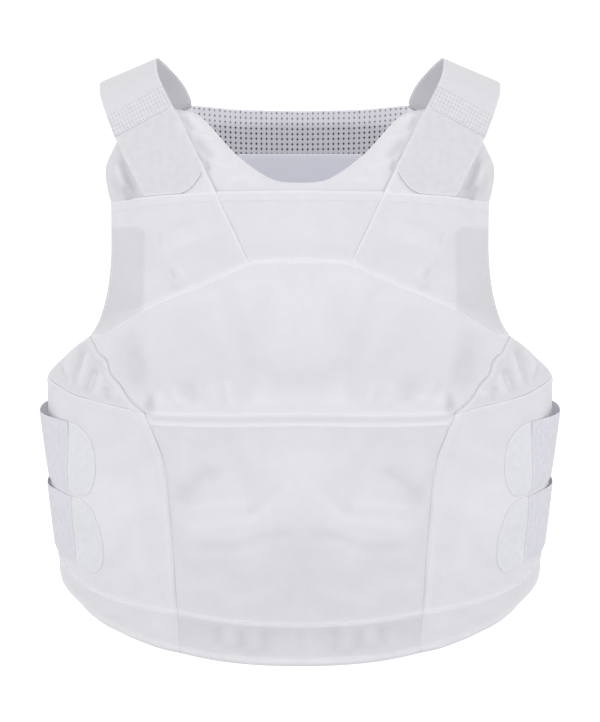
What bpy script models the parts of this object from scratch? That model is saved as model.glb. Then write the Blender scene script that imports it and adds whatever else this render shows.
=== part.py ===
"""Concealable protective vest, held in its worn form.

A padded front panel and a padded back panel wrap the torso, with cover pieces sewn on the front.
Shoulder straps bridge the two panels over the shoulders, and side straps bridge them under the arms.
The front faces -Y, the wearer's left is +X, and the origin is midway between the undersides of the
two shoulder straps, where the shoulders carry them. All sizes are in metres.
"""

import math
from collections import namedtuple

import bmesh
import bpy
import numpy as np
from mathutils import Vector

Section = namedtuple("Section", "height half_width front_depth back_depth")
Point = namedtuple("Point", "out height")
Station = namedtuple("Station", "outer inner")
Lift = namedtuple("Lift", "out top low")
Finish = namedtuple("Finish", "name colour roughness")

# The form inside the vest, one row for each height.
FORM = (
    Section(0.020, 0.178, 0.012, 0.028),
    Section(-0.020, 0.178, 0.038, 0.050),
    Section(-0.050, 0.178, 0.060, 0.068),
    Section(-0.085, 0.178, 0.082, 0.084),
    Section(-0.130, 0.178, 0.101, 0.097),
    Section(-0.190, 0.178, 0.114, 0.103),
    Section(-0.250, 0.178, 0.118, 0.100),
    Section(-0.310, 0.175, 0.117, 0.093),
    Section(-0.370, 0.170, 0.114, 0.089),
    Section(-0.440, 0.161, 0.108, 0.091),
)
SQUARENESS = 2.35
RING_STEPS = 240
NORMAL_STEP = 0.008

# Every sheet bends along the same lines of the form, so that layers stay parallel.
CELLS_ROUND = 18
FORM_TOP = 0.020
FORM_ROWS = 18
FLAT_GIRTH = 0.480
CELL = FLAT_GIRTH / CELLS_ROUND
SNAP = 0.0005
CUT_SNAP = 0.0001

# Walls and the gaps between them.
PANEL_THICKNESS = 0.009
COVER_THICKNESS = 0.0015
YOKE_THICKNESS = 0.0025
BAND_THICKNESS = 0.003
WING_THICKNESS = 0.0035
GUSSET_THICKNESS = 0.0012
LANDING_THICKNESS = 0.0012
TAB_THICKNESS = 0.0028
STRAP_THICKNESS = 0.0025
LINING_THICKNESS = 0.0015
LABEL_THICKNESS = 0.0008
LAYER_GAP = 0.0006
SEAM_GAP = 0.0006
COVER_OFFSET = PANEL_THICKNESS + LAYER_GAP
TAB_OFFSET = COVER_OFFSET + LANDING_THICKNESS + LAYER_GAP
SIDE_TAB_OFFSET = COVER_OFFSET + WING_THICKNESS + LAYER_GAP
LINING_OFFSET = -LAYER_GAP - LINING_THICKNESS
LABEL_OFFSET = LINING_OFFSET - LAYER_GAP - LABEL_THICKNESS

# Outlines: out is the girth from the centre line, height is above the origin.
CURVE_SPACING = 0.017
MITRE_LIMIT = 0.5
ARMPIT = Point(0.154, -0.1955)
FRONT_NECK = (Point(0.0, -0.0885), Point(0.0215, -0.086), Point(0.0485, -0.069), Point(0.069, -0.044),
              Point(0.080, -0.0355))
FRONT_SHOULDER = (Point(0.0915, -0.0325), Point(0.1355, -0.0575))
FRONT_ARMHOLE_TOP = (Point(0.1355, -0.0575), Point(0.1430, -0.075), Point(0.1400, -0.0945),
                     Point(0.1370, -0.101))
FRONT_ARMHOLE_SIDE = (Point(0.1370, -0.101), Point(0.1365, -0.142), Point(0.1435, -0.174), ARMPIT)
FRONT_ARMPIT = (ARMPIT, Point(0.168, -0.1985), Point(0.188, -0.2095), Point(0.210, -0.228))
WING_TOP_SIDE = (Point(0.210, -0.228), Point(0.232, -0.2325))
FRONT_SIDE = (Point(0.232, -0.2325), Point(0.231, -0.362))
HEM_SIDE = (Point(0.231, -0.362), Point(0.230, -0.379))
HEM_CORNER = (Point(0.230, -0.379), Point(0.205, -0.386), Point(0.181, -0.3945), Point(0.147, -0.4075),
              Point(0.106, -0.420), Point(0.0855, -0.424))
HEM_CENTRE = (Point(0.0855, -0.424), Point(0.0565, -0.429), Point(0.028, -0.431), Point(0.0, -0.4315))
HEM_STITCH_SIDE = (Point(0.231, -0.362), Point(0.205, -0.368), Point(0.1645, -0.3815),
                   Point(0.122, -0.3895), Point(0.0865, -0.3935))
HEM_STITCH_CENTRE = (Point(0.0865, -0.3935), Point(0.0565, -0.3975), Point(0.028, -0.400),
                     Point(0.0, -0.401))
YOKE_TOP_CENTRE = (Point(0.0, -0.0925), Point(0.060, -0.0935))
YOKE_TOP_SIDE = (Point(0.060, -0.0935), Point(0.107, -0.0965), Point(0.1370, -0.101))
DIAGONAL_UPPER = (Point(0.0905, -0.0355), Point(0.060, -0.0935))
DIAGONAL_LOWER = (Point(0.060, -0.0935), Point(0.036, -0.142))
LANDING_OUTER = (Point(0.1345, -0.0585), Point(0.112, -0.097))
ARCH_CENTRE = (Point(0.0, -0.1405), Point(0.018, -0.1405), Point(0.036, -0.142))
ARCH_SIDE = (Point(0.036, -0.142), Point(0.060, -0.153), Point(0.1065, -0.1725), Point(0.142, -0.1945),
             ARMPIT)
GUSSET_SEAM = (ARMPIT, Point(0.147, -0.2085), Point(0.139, -0.214), Point(0.129, -0.2295),
               Point(0.1095, -0.248))
WING_TOP_FRONT = (Point(0.210, -0.228), Point(0.184, -0.2375), Point(0.142, -0.2445), Point(0.1095, -0.248))
WAIST_TOP = (Point(0.1095, -0.248), Point(0.070, -0.248), Point(0.0, -0.2465))
WAIST_LOW = (Point(0.106, -0.2555), Point(0.070, -0.2555), Point(0.0, -0.254))
WING_SEAM_TOP = (Point(0.1095, -0.248), Point(0.106, -0.2555))
WING_SEAM = (Point(0.106, -0.2555), Point(0.1, -0.278), Point(0.095, -0.2975), Point(0.0905, -0.344),
             Point(0.0865, -0.3935))
WING_SEAM_HEM = (Point(0.0865, -0.3935), Point(0.0855, -0.424))
BACK_NECK = (Point(0.0, -0.038), Point(0.045, -0.037), Point(0.078, -0.034))
BACK_SHOULDER = (Point(0.082, -0.0335), Point(0.1275, -0.0540))
BACK_ARMHOLE = (Point(0.1275, -0.0540), Point(0.134, -0.075), Point(0.131, -0.115), Point(0.133, -0.152),
                Point(0.144, -0.188), Point(0.176, -0.217), Point(0.212, -0.236))
BACK_SIDE = (Point(0.212, -0.236), Point(0.209, -0.374))
BACK_HEM = (Point(0.209, -0.374), Point(0.165, -0.388), Point(0.090, -0.398), Point(0.0, -0.401))
LINING_MARGIN = 0.0015
LABEL_HALF_WIDTH = 0.042
LABEL_TOP = -0.0675
LABEL_HEIGHT = 0.048
LABEL_CORNER = 0.005
LABEL_CORNER_STEPS = 3

# Shoulder fastening: the tab on the front, its elastic, the strap over the shoulder and its end behind.
SHOULDER_TAB_TOP = (Point(0.0925, -0.0345), Point(0.1345, -0.0555))
SHOULDER_TAB_OUTER = (Point(0.1345, -0.0555), Point(0.1115, -0.0965))
SHOULDER_TAB_END = (Point(0.1115, -0.0965), Point(0.098, -0.0955), Point(0.085, -0.094))
SHOULDER_TAB_ROUND = (Point(0.085, -0.094), Point(0.078, -0.090), Point(0.0725, -0.084),
                      Point(0.0685, -0.077))
ANCHOR_OUTLINE = (Point(0.0825, -0.0350), Point(0.1260, -0.0550), Point(0.110, -0.091),
                  Point(0.067, -0.072))
STRAP_FRONT = (Point(0.1345, -0.0542), Point(0.0925, -0.0332))
STRAP_BACK = (Point(0.1260, -0.0545), Point(0.0825, -0.0345))
STRAP_BACK_OFFSET = COVER_OFFSET + LAYER_GAP
STRAP_LEAD = 0.008
# The strap's underside over the shoulder, by its outer and its inner edge.
STRAP_ARCH = (
    Station((0.1440, -0.049, -0.030), (0.1015, -0.049, -0.007)),
    Station((0.1485, -0.030, -0.0175), (0.1055, -0.030, 0.003)),
    Station((0.1490, -0.003, -0.0105), (0.1065, 0.000, 0.0070)),
    Station((0.1440, 0.026, -0.0150), (0.0990, 0.026, -0.0005)),
    Station((0.1370, 0.052, -0.0290), (0.0910, 0.052, -0.0125)),
)
STRAP_STEPS = 28
STRAP_LANES = 4
ELASTIC_STEPS = 3
STRAP_JOINT_GAP = 0.0006

# Side straps: each has an upper and a lower edge line, from its tab round to the back panel.
UPPER_STRAP_TOP = (Point(0.180, -0.2600), Point(0.235, -0.2545), Point(0.300, -0.2500),
                   Point(0.352, -0.2490))
UPPER_STRAP_LOW = (Point(0.180, -0.3120), Point(0.235, -0.3060), Point(0.300, -0.3015),
                   Point(0.347, -0.3005))
LOWER_STRAP_TOP = (Point(0.175, -0.3150), Point(0.235, -0.3085), Point(0.300, -0.3040),
                   Point(0.346, -0.3030))
LOWER_STRAP_LOW = (Point(0.175, -0.3650), Point(0.235, -0.3590), Point(0.300, -0.3545),
                   Point(0.339, -0.3535))
UPPER_TAB_END = (Point(0.1675, -0.2620), Point(0.157, -0.269), Point(0.1515, -0.282),
                 Point(0.1510, -0.298), Point(0.1560, -0.3125))
LOWER_TAB_END = (Point(0.1640, -0.3165), Point(0.153, -0.3240), Point(0.1465, -0.339),
                 Point(0.1450, -0.354), Point(0.1500, -0.3710))
# How far the underside of a side strap stands off the form along its way, at its top and its lower edge.
SIDE_STRAP_LIFT = (
    Lift(0.170, SIDE_TAB_OFFSET, SIDE_TAB_OFFSET),
    Lift(0.200, 0.0150, SIDE_TAB_OFFSET),
    Lift(0.236, 0.0175, SIDE_TAB_OFFSET),
    Lift(0.265, 0.0160, 0.0110),
    Lift(0.300, 0.0115, COVER_OFFSET),
    Lift(0.330, COVER_OFFSET, COVER_OFFSET),
    Lift(0.360, COVER_OFFSET, COVER_OFFSET),
)

# Soft relief: gathers at the armpit, and the swell of the pocket and the flap.
GATHER_PITCH = 0.011
GATHER_DEPTH = 0.0028
GATHER_SLANT = math.radians(12)
GATHER_FADE = 0.014
POCKET_SWELL = 0.004
FLAP_SWELL = 0.0025

FINISHES = (
    Finish("white_cloth", (0.765, 0.757, 0.800), 0.85),
    Finish("thin_white_cloth", (0.690, 0.680, 0.725), 0.88),
    Finish("white_elastic", (0.708, 0.715, 0.760), 0.80),
    Finish("tab_cloth", (0.716, 0.716, 0.752), 0.82),
    Finish("mesh_lining", (0.640, 0.640, 0.700), 0.90),
    Finish("label_satin", (0.620, 0.640, 0.720), 0.55),
)


def clear_scene():
    """Remove the objects that a new file starts with."""
    for thing in list(bpy.data.objects):
        bpy.data.objects.remove(thing, do_unlink=True)


def make_finishes():
    """One material for each cloth."""
    made = {}
    for name, colour, roughness in FINISHES:
        material = bpy.data.materials.new(name)
        material.use_nodes = True
        shader = material.node_tree.nodes["Principled BSDF"]
        shader.inputs["Base Color"].default_value = (*colour, 1.0)
        shader.inputs["Roughness"].default_value = roughness
        shader.inputs["Metallic"].default_value = 0.0
        made[name] = material
    return made


def smooth_value(places, values, place):
    """Cubic curve through values at rising places."""
    places, values = np.asarray(places), np.asarray(values)
    slopes = np.gradient(values, places)
    place = min(max(place, places[0]), places[-1])
    low = min(int(np.searchsorted(places, place, side="right")) - 1, len(places) - 2)
    span = places[low + 1] - places[low]
    t = (place - places[low]) / span
    return ((1 + 2 * t) * (1 - t) ** 2 * values[low] + t * (1 - t) ** 2 * span * slopes[low]
            + t * t * (3 - 2 * t) * values[low + 1] + t * t * (t - 1) * span * slopes[low + 1])


def section_at(height):
    """The form's half width, front depth and back depth at a height."""
    rows = FORM[::-1]
    heights, *columns = zip(*rows)
    return [smooth_value(heights, column, height) for column in columns]


def half_ring(height):
    """Points and running girth of the form from centre front to centre back."""
    half_width, front_depth, back_depth = section_at(height)
    turn = np.linspace(0.0, math.pi, RING_STEPS + 1)
    power = 2.0 / SQUARENESS
    forward = np.cos(turn)
    depth = np.where(forward >= 0, front_depth, back_depth)
    x = half_width * np.abs(np.sin(turn)) ** power
    y = -np.sign(forward) * depth * np.abs(forward) ** power
    girth = np.concatenate(([0.0], np.cumsum(np.hypot(np.diff(x), np.diff(y)))))
    return x, y, girth


def half_girth(height):
    """Girth of the form from centre front to centre back."""
    return half_ring(height)[2][-1]


def smooth_point(share, height):
    """A point of the smooth form at a share of the half girth, which may be negative."""
    x, y, girth = half_ring(height)
    place = abs(share) * girth[-1]
    return np.array([math.copysign(np.interp(place, girth, x), share), np.interp(place, girth, y), height])


def smooth_normal(share, height):
    """The outward normal of the smooth form."""
    across = smooth_point(share + NORMAL_STEP, height) - smooth_point(share - NORMAL_STEP, height)
    if share + NORMAL_STEP > 1.0:
        across = np.array([-1.0, 0.0, 0.0])
    upward = smooth_point(share, height + NORMAL_STEP) - smooth_point(share, height - NORMAL_STEP)
    normal = np.cross(across, upward)
    return normal / np.linalg.norm(normal)


def form_grid():
    """Corner points and normals of the form's cells, by row and column."""
    rows = range(FORM_ROWS)
    columns = range(CELLS_ROUND + 1)
    at = [[(column / CELLS_ROUND, FORM_TOP - row * CELL) for column in columns] for row in rows]
    points = np.array([[smooth_point(*place) for place in line] for line in at])
    normals = np.array([[smooth_normal(*place) for place in line] for line in at])
    return points, normals


CELL_POINTS, CELL_NORMALS = form_grid()


def cell_weights(s, t):
    """Shares of a cell's corners at a spot in it. A diagonal splits the cell into two flat triangles."""
    if s + t <= 1:
        return np.array([[1 - s - t, s], [t, 0.0]])
    return np.array([[0.0, 1 - t], [1 - s, s + t - 1]])


def on_form(across, height, offset):
    """The place of a flat spot on the form, offset along the normal."""
    across = math.remainder(across, 2 * FLAT_GIRTH)
    column = abs(across) / CELL
    row = (FORM_TOP - height) / CELL
    i = min(int(column), CELLS_ROUND - 1)
    j = min(max(int(row), 0), FORM_ROWS - 2)
    weights = cell_weights(column - i, row - j)[..., None]
    spots = CELL_POINTS[j:j + 2, i:i + 2] + CELL_NORMALS[j:j + 2, i:i + 2] * offset
    placed = (spots * weights).sum(axis=(0, 1))
    return Vector((math.copysign(placed[0], across), placed[1], placed[2]))


def curve(points):
    """A smooth line through points, as a list of points."""
    if len(points) == 2:
        return list(points)
    padded = [points[0], *points, points[-1]]
    line = []
    for a, b, c, d in zip(padded, padded[1:], padded[2:], padded[3:]):
        steps = max(1, round(math.dist(b, c) / CURVE_SPACING))
        for step in range(steps):
            t = step / steps
            line.append(Point(*(bend(t, *values) for values in zip(a, b, c, d))))
    return [*line, points[-1]]


def bend(t, a, b, c, d):
    """Catmull-Rom value between b and c."""
    straight = 2 * b + (c - a) * t
    curved = (2 * a - 5 * b + 4 * c - d) * t ** 2 + (3 * b - a - 3 * c + d) * t ** 3
    return 0.5 * (straight + curved)


def joined(*edges):
    """One line from edges that meet end to end. An edge that ends where the line starts is left open."""
    line = []
    for edge in edges:
        for point in curve(edge):
            if not line or math.dist(point, line[-1]) > SNAP:
                line.append(point)
    return line


def closed(line):
    """A closed outline, without a repeated last point."""
    return line[:-1] if math.dist(line[0], line[-1]) < SNAP else line


def both_halves(line):
    """A symmetric outline from a half line that runs from the centre line back to the centre line."""
    other = [Point(-point.out, point.height) for point in reversed(line)]
    return closed(line + [point for point in other if abs(point.out) > SNAP])


def area(outline):
    """Signed area, positive for an anticlockwise outline."""
    following = outline[1:] + outline[:1]
    return 0.5 * sum(a.out * b.height - b.out * a.height for a, b in zip(outline, following))


def anticlockwise(outline):
    """The outline, turned so that its face points away from the body."""
    return outline if area(outline) > 0 else outline[::-1]


def shrunk(outline, margin):
    """The outline moved inwards by a margin."""
    outline = anticlockwise(outline)
    moved = []
    for before, here, after in zip([outline[-1]] + outline[:-1], outline, outline[1:] + outline[:1]):
        first = Vector((here.out - before.out, here.height - before.height)).normalized()
        second = Vector((after.out - here.out, after.height - here.height)).normalized()
        inward = Vector((-first.y - second.y, first.x + second.x))
        scale = margin / max(MITRE_LIMIT, 1 + first.dot(second))
        moved.append(Point(here.out + inward.x * scale, here.height + inward.y * scale))
    return moved


def mirrored(outline):
    """The outline on the other side of the centre line."""
    return [Point(-point.out, point.height) for point in reversed(outline)]


def spread_point(point, from_back):
    """A girth distance as the form's own measure, from centre front."""
    across = point.out * FLAT_GIRTH / half_girth(point.height)
    return (FLAT_GIRTH - across if from_back else across, point.height)


def spread(outline, from_back):
    """An outline in the form's own measure."""
    placed = [spread_point(point, from_back) for point in anticlockwise(outline)]
    return placed[::-1] if from_back else placed


def cut_along(bm, place, direction, faces=None):
    """Cut the flat sheet, or some of its faces, along a line, so that it can bend there."""
    faces = bm.faces[:] if faces is None else faces
    edges = {edge for face in faces for edge in face.edges}
    verts = {vert for face in faces for vert in face.verts}
    geom = [*verts, *edges, *faces]
    bmesh.ops.bisect_plane(bm, geom=geom, dist=CUT_SNAP, plane_co=place, plane_no=direction)


def line_numbers(values, pitch):
    """The numbers of the evenly spaced lines that fall between the lowest and the highest value."""
    return range(math.ceil(min(values) / pitch), math.floor(max(values) / pitch) + 1)


def cut_cells(bm):
    """Cut the flat sheet along the lines of the form's cells."""
    for line in line_numbers([vert.co.x for vert in bm.verts], CELL):
        cut_along(bm, (line * CELL, 0, 0), (1, 0, 0))
    for line in line_numbers([FORM_TOP - vert.co.y for vert in bm.verts], CELL):
        cut_along(bm, (0, FORM_TOP - line * CELL, 0), (0, 1, 0))
    for side in (1, -1):
        cut_diagonals(bm, side)


def faces_of_side(bm, side):
    """The faces on the wearer's left (1) or right (-1), which follow each other round the body."""
    def side_of(face):
        return math.sin(math.pi * face.calc_center_median().x / FLAT_GIRTH)
    return [face for face in bm.faces if side_of(face) * side > 0]


def cut_diagonals(bm, side):
    """Cut the cells of one side of the body along their diagonals."""
    corners = {vert for face in faces_of_side(bm, side) for vert in face.verts}
    distances = [side * vert.co.x + FORM_TOP - vert.co.y for vert in corners]
    for line in line_numbers(distances, CELL) if distances else ():
        cut_along(bm, (side * line * CELL, FORM_TOP, 0), (side, -1, 0), faces_of_side(bm, side))


def add_object(name, bm, finish):
    """An object of the vest from a finished mesh."""
    mesh = bpy.data.meshes.new(name)
    bm.to_mesh(mesh)
    bm.free()
    mesh.materials.append(finish)
    thing = bpy.data.objects.new(name, mesh)
    VEST.objects.link(thing)
    return thing


def thicken(bm, thickness):
    """Give the flat sheet its wall, as the height of its upper side."""
    upper = bmesh.ops.extrude_face_region(bm, geom=bm.faces[:])["geom"]
    moved = [item for item in upper if isinstance(item, bmesh.types.BMVert)]
    bmesh.ops.translate(bm, verts=moved, vec=(0.0, 0.0, thickness))
    bmesh.ops.recalc_face_normals(bm, faces=bm.faces[:])


def sheet(name, outline, offset, thickness, finish, from_back=False, lift=None, creases=()):
    """A sewn piece: its outline is filled, cut where it bends, thickened and wrapped round the form."""
    bm = bmesh.new()
    corners = [bm.verts.new((across, height, 0.0)) for across, height in spread(outline, from_back)]
    bm.faces.new(corners)
    cut_cells(bm)
    for place, direction in creases:
        cut_along(bm, place, direction)
    bmesh.ops.remove_doubles(bm, verts=bm.verts[:], dist=CUT_SNAP)
    bmesh.ops.triangulate(bm, faces=bm.faces[:])
    thicken(bm, thickness)
    for vert in bm.verts:
        across, height, depth = vert.co
        raised = lift(across, height) if lift else 0.0
        vert.co = on_form(across, height, offset + depth + raised)
    add_object(name, bm, finish)


def seamed(outline):
    """An outline with its share of the seam gap taken off."""
    return shrunk(outline, SEAM_GAP / 2)


def pair(name, outline, *sizes, **options):
    """The same piece on the wearer's left and right."""
    sheet(name + "_left", outline, *sizes, **options)
    sheet(name + "_right", mirrored(outline), *sizes, **options)


def swell(depth, half_width, top, bottom):
    """A lift that is fullest in the middle of a piece and nothing at its seams."""
    def lift(across, height):
        level = min(max((top - height) / (top - bottom), 0.0), 1.0)
        middle = max(0.0, 1 - (across / half_width) ** 2)
        return depth * middle * math.sin(math.pi * level)
    return lift


def gather_phase(across, height):
    """Distance across the gathers, which slant outwards as they go down."""
    return abs(across) * math.cos(GATHER_SLANT) + height * math.sin(GATHER_SLANT)


def seam_out(edge, height):
    """How far out a seam that runs down and inwards lies at a height."""
    rising = sorted(edge, key=lambda point: point.height)
    return float(np.interp(height, [point.height for point in rising], [point.out for point in rising]))


def gather_lift(across, height):
    """Rise of a gather over the flat cloth, which is flat at the pocket's seam."""
    wave = 0.5 - 0.5 * math.cos(2 * math.pi * gather_phase(across, height) / GATHER_PITCH)
    out = abs(across) * half_girth(height) / FLAT_GIRTH
    fade = (out - seam_out(GUSSET_SEAM, height)) / GATHER_FADE
    return GATHER_DEPTH * wave * min(max(fade, 0.0), 1.0)


def gather_creases(outline, side):
    """Crease lines at the crown and the valley of each gather."""
    flat = spread(outline, False)
    phases = [gather_phase(across, height) for across, height in flat]
    step = GATHER_PITCH / 2
    direction = (side * math.cos(GATHER_SLANT), math.sin(GATHER_SLANT), 0.0)
    lines = range(math.ceil(min(phases) / step), math.floor(max(phases) / step) + 1)
    return [(tuple(Vector(direction) * line * step), direction) for line in lines]


def build_front_panel(finish):
    """The padded front panel, from the shoulders to the hem and round to the sides."""
    half = joined(FRONT_NECK, FRONT_SHOULDER, FRONT_ARMHOLE_TOP, FRONT_ARMHOLE_SIDE, FRONT_ARMPIT,
                  WING_TOP_SIDE, FRONT_SIDE, HEM_SIDE, HEM_CORNER, HEM_CENTRE)
    sheet("front_panel", both_halves(half), 0.0, PANEL_THICKNESS, finish)


def build_yoke(finish):
    """The yoke across the upper chest: a centre piece between two thicker side pieces."""
    centre = both_halves(joined(YOKE_TOP_CENTRE, DIAGONAL_LOWER, ARCH_CENTRE[::-1]))
    sheet("yoke_centre", seamed(centre), COVER_OFFSET, COVER_THICKNESS, finish)
    side = closed(joined(YOKE_TOP_SIDE, FRONT_ARMHOLE_SIDE, ARCH_SIDE[::-1], DIAGONAL_LOWER[::-1]))
    pair("yoke", seamed(side), COVER_OFFSET, YOKE_THICKNESS, finish)


def build_landings(finish):
    """The strips that the shoulder tabs fasten to, above the yoke."""
    inner = DIAGONAL_UPPER[::-1]
    landing = closed(joined(inner, LANDING_OUTER, YOKE_TOP_SIDE[1::-1]))
    pair("strap_landing", seamed(landing), COVER_OFFSET, LANDING_THICKNESS, finish)


def build_chest_pocket(finish):
    """The arched pocket over the chest, down to the waist band."""
    half = joined(ARCH_CENTRE, ARCH_SIDE, GUSSET_SEAM, WAIST_TOP)
    puff = swell(POCKET_SWELL, GUSSET_SEAM[0].out, ARCH_CENTRE[0].height, WAIST_TOP[0].height)
    sheet("chest_pocket", seamed(both_halves(half)), COVER_OFFSET, COVER_THICKNESS, finish, lift=puff)


def build_waist(finish):
    """The stitched band at the waist and the flap below it."""
    band = both_halves(joined(WAIST_TOP[::-1], WING_SEAM_TOP, WAIST_LOW))
    sheet("waist_band", seamed(band), COVER_OFFSET, BAND_THICKNESS, finish)
    flap = both_halves(joined(WAIST_LOW[::-1], WING_SEAM, HEM_STITCH_CENTRE))
    puff = swell(FLAP_SWELL, WING_SEAM[0].out, WAIST_LOW[0].height, HEM_STITCH_CENTRE[-1].height)
    sheet("lower_flap", seamed(flap), COVER_OFFSET, COVER_THICKNESS, finish, lift=puff)


def build_wings(finish):
    """The side wings, which lie over the flap's seam and carry the side tabs."""
    wing = closed(joined(WING_TOP_FRONT[::-1], WING_TOP_SIDE, FRONT_SIDE, HEM_STITCH_SIDE, WING_SEAM[::-1],
                         WING_SEAM_TOP[::-1]))
    pair("side_wing", seamed(wing), COVER_OFFSET, WING_THICKNESS, finish)


def build_hem(finish):
    """The band along the hem, in a centre piece and two side pieces."""
    centre = both_halves(joined(HEM_STITCH_CENTRE[::-1], WING_SEAM_HEM, HEM_CENTRE))
    sheet("hem_band_centre", seamed(centre), COVER_OFFSET, COVER_THICKNESS, finish)
    side = closed(joined(HEM_STITCH_SIDE[::-1], HEM_SIDE, HEM_CORNER, WING_SEAM_HEM[::-1]))
    pair("hem_band", seamed(side), COVER_OFFSET, WING_THICKNESS, finish)


def build_gussets(finish):
    """The gathered cloth at each armpit, between the pocket's seam and the wing's top."""
    outline = seamed(closed(joined(GUSSET_SEAM[::-1], FRONT_ARMPIT, WING_TOP_FRONT)))
    for name, shape, side in (("left", outline, 1), ("right", mirrored(outline), -1)):
        sheet("side_gusset_" + name, shape, COVER_OFFSET, GUSSET_THICKNESS, finish, lift=gather_lift,
              creases=gather_creases(shape, side))


def build_back(panel_finish, lining_finish, label_finish):
    """The padded back panel, its mesh lining and the plain label at the neck."""
    outline = both_halves(joined(BACK_NECK, BACK_SHOULDER, BACK_ARMHOLE, BACK_SIDE, BACK_HEM))
    sheet("back_panel", outline, 0.0, PANEL_THICKNESS, panel_finish, from_back=True)
    lining = shrunk(outline, LINING_MARGIN)
    sheet("back_lining", lining, LINING_OFFSET, LINING_THICKNESS, lining_finish, from_back=True)
    sheet("neck_label", label_outline(), LABEL_OFFSET, LABEL_THICKNESS, label_finish, from_back=True)


def label_outline():
    """A rectangle with rounded lower corners."""
    bottom = LABEL_TOP - LABEL_HEIGHT
    half = [Point(0.0, LABEL_TOP), Point(LABEL_HALF_WIDTH, LABEL_TOP)]
    for step in range(LABEL_CORNER_STEPS + 1):
        turn = math.pi / 2 * step / LABEL_CORNER_STEPS
        half.append(Point(LABEL_HALF_WIDTH - LABEL_CORNER * (1 - math.cos(turn)),
                          bottom + LABEL_CORNER * (1 - math.sin(turn))))
    return both_halves(half + [Point(0.0, bottom)])


def build_shoulder_tabs(finish):
    """The tabs on the front landings and the sewn strap ends on the back panel."""
    tab = closed(joined(SHOULDER_TAB_TOP, SHOULDER_TAB_OUTER, SHOULDER_TAB_END, SHOULDER_TAB_ROUND))
    pair("shoulder_tab", tab, TAB_OFFSET, TAB_THICKNESS, finish)
    pair("strap_end", list(ANCHOR_OUTLINE), COVER_OFFSET, STRAP_THICKNESS, finish, from_back=True)


def lanes_between(first, last):
    """Evenly spaced values from an outer to an inner edge, one for each lane line."""
    return [first.lerp(last, lane / STRAP_LANES) for lane in range(STRAP_LANES + 1)]


def strap_foot(edge, offset, raised, from_back):
    """A row of the strap's underside where it leaves the form."""
    outer, inner = (Vector((point.out, point.height + raised)) for point in edge)
    spots = [spread_point(Point(*place), from_back) for place in lanes_between(outer, inner)]
    return [on_form(*spot, offset) for spot in spots]


def strap_rows():
    """The shoulder strap's underside from the front tab to the back panel, as rows of lane points."""
    stations = [strap_foot(STRAP_FRONT, TAB_OFFSET, 0.0, False)]
    stations += [lanes_between(Vector(station.outer), Vector(station.inner)) for station in STRAP_ARCH]
    stations += [strap_foot(STRAP_BACK, STRAP_BACK_OFFSET, raised, True) for raised in (STRAP_LEAD, 0.0)]
    rows = []
    for step in range(STRAP_STEPS + 1):
        place = step / STRAP_STEPS * (len(stations) - 1)
        k = min(int(place), len(stations) - 2)
        near = [stations[min(max(k + shift, 0), len(stations) - 1)] for shift in (-1, 0, 1, 2)]
        rows.append([Vector([bend(place - k, *values) for values in zip(*lane)]) for lane in zip(*near)])
    return rows


def drawn_in(row, towards):
    """A row of points moved towards the next row by the joint gap."""
    return [here + (there - here).normalized() * STRAP_JOINT_GAP for here, there in zip(row, towards)]


def strap_piece(name, side, first, last, finish):
    """A stretch of the shoulder strap between two steps, shortened at both ends by the joint gap."""
    rows = strap_rows()[first:last + 1]
    rows = [drawn_in(rows[0], rows[1]), *rows[1:-1], drawn_in(rows[-1], rows[-2])]
    bm = bmesh.new()
    verts = [[bm.verts.new(flipped(place, side)) for place in row] for row in rows]
    for near, far in zip(verts, verts[1:]):
        for lane in range(STRAP_LANES):
            corners = [near[lane], far[lane], far[lane + 1], near[lane + 1]]
            bm.faces.new(corners if side > 0 else corners[::-1])
    bmesh.ops.triangulate(bm, faces=bm.faces[:])
    wall = add_object(name, bm, finish).modifiers.new("wall", "SOLIDIFY")
    wall.thickness = STRAP_THICKNESS
    wall.offset = 1.0


def flipped(place, side):
    """A place on the wearer's left (1) or right (-1)."""
    return Vector((place.x * side, place.y, place.z))


def build_shoulder_straps(elastic_finish, strap_finish):
    """Over each shoulder: the ribbed elastic above the tab, then the strap to the back."""
    for name, side in (("left", 1), ("right", -1)):
        strap_piece("shoulder_elastic_" + name, side, 0, ELASTIC_STEPS, elastic_finish)
        strap_piece("shoulder_strap_" + name, side, ELASTIC_STEPS, STRAP_STEPS, strap_finish)


def table_value(rows, column, out):
    """A table's value at a girth distance from centre front."""
    return float(np.interp(out, [row.out for row in rows], [getattr(row, column) for row in rows]))


def side_strap_lift(top, low):
    """Stand-off of a side strap beyond its tab, between the strap's top and lower edge lines."""
    def lift(across, height):
        out = abs(across) * half_girth(height) / FLAT_GIRTH
        highest, lowest = table_value(top, "height", out), table_value(low, "height", out)
        level = min(max((height - lowest) / (highest - lowest), 0.0), 1.0)
        at_top, at_low = (table_value(SIDE_STRAP_LIFT, column, out) for column in ("top", "low"))
        return at_low + (at_top - at_low) * level - SIDE_TAB_OFFSET
    return lift


def build_side_straps(elastic_finish, tab_finish):
    """Two elastic straps on each side, each with a rounded tab on the wing."""
    table = (
        ("upper", UPPER_STRAP_TOP, UPPER_STRAP_LOW, UPPER_TAB_END),
        ("lower", LOWER_STRAP_TOP, LOWER_STRAP_LOW, LOWER_TAB_END),
    )
    for name, top, low, end in table:
        strap = joined(low, top[::-1])
        pair(name + "_side_strap", seamed(strap), SIDE_TAB_OFFSET, STRAP_THICKNESS, elastic_finish,
             lift=side_strap_lift(top, low))
        tab = joined(end, low[:1], top[:1])
        pair(name + "_side_tab", seamed(tab), SIDE_TAB_OFFSET, TAB_THICKNESS, tab_finish)


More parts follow.
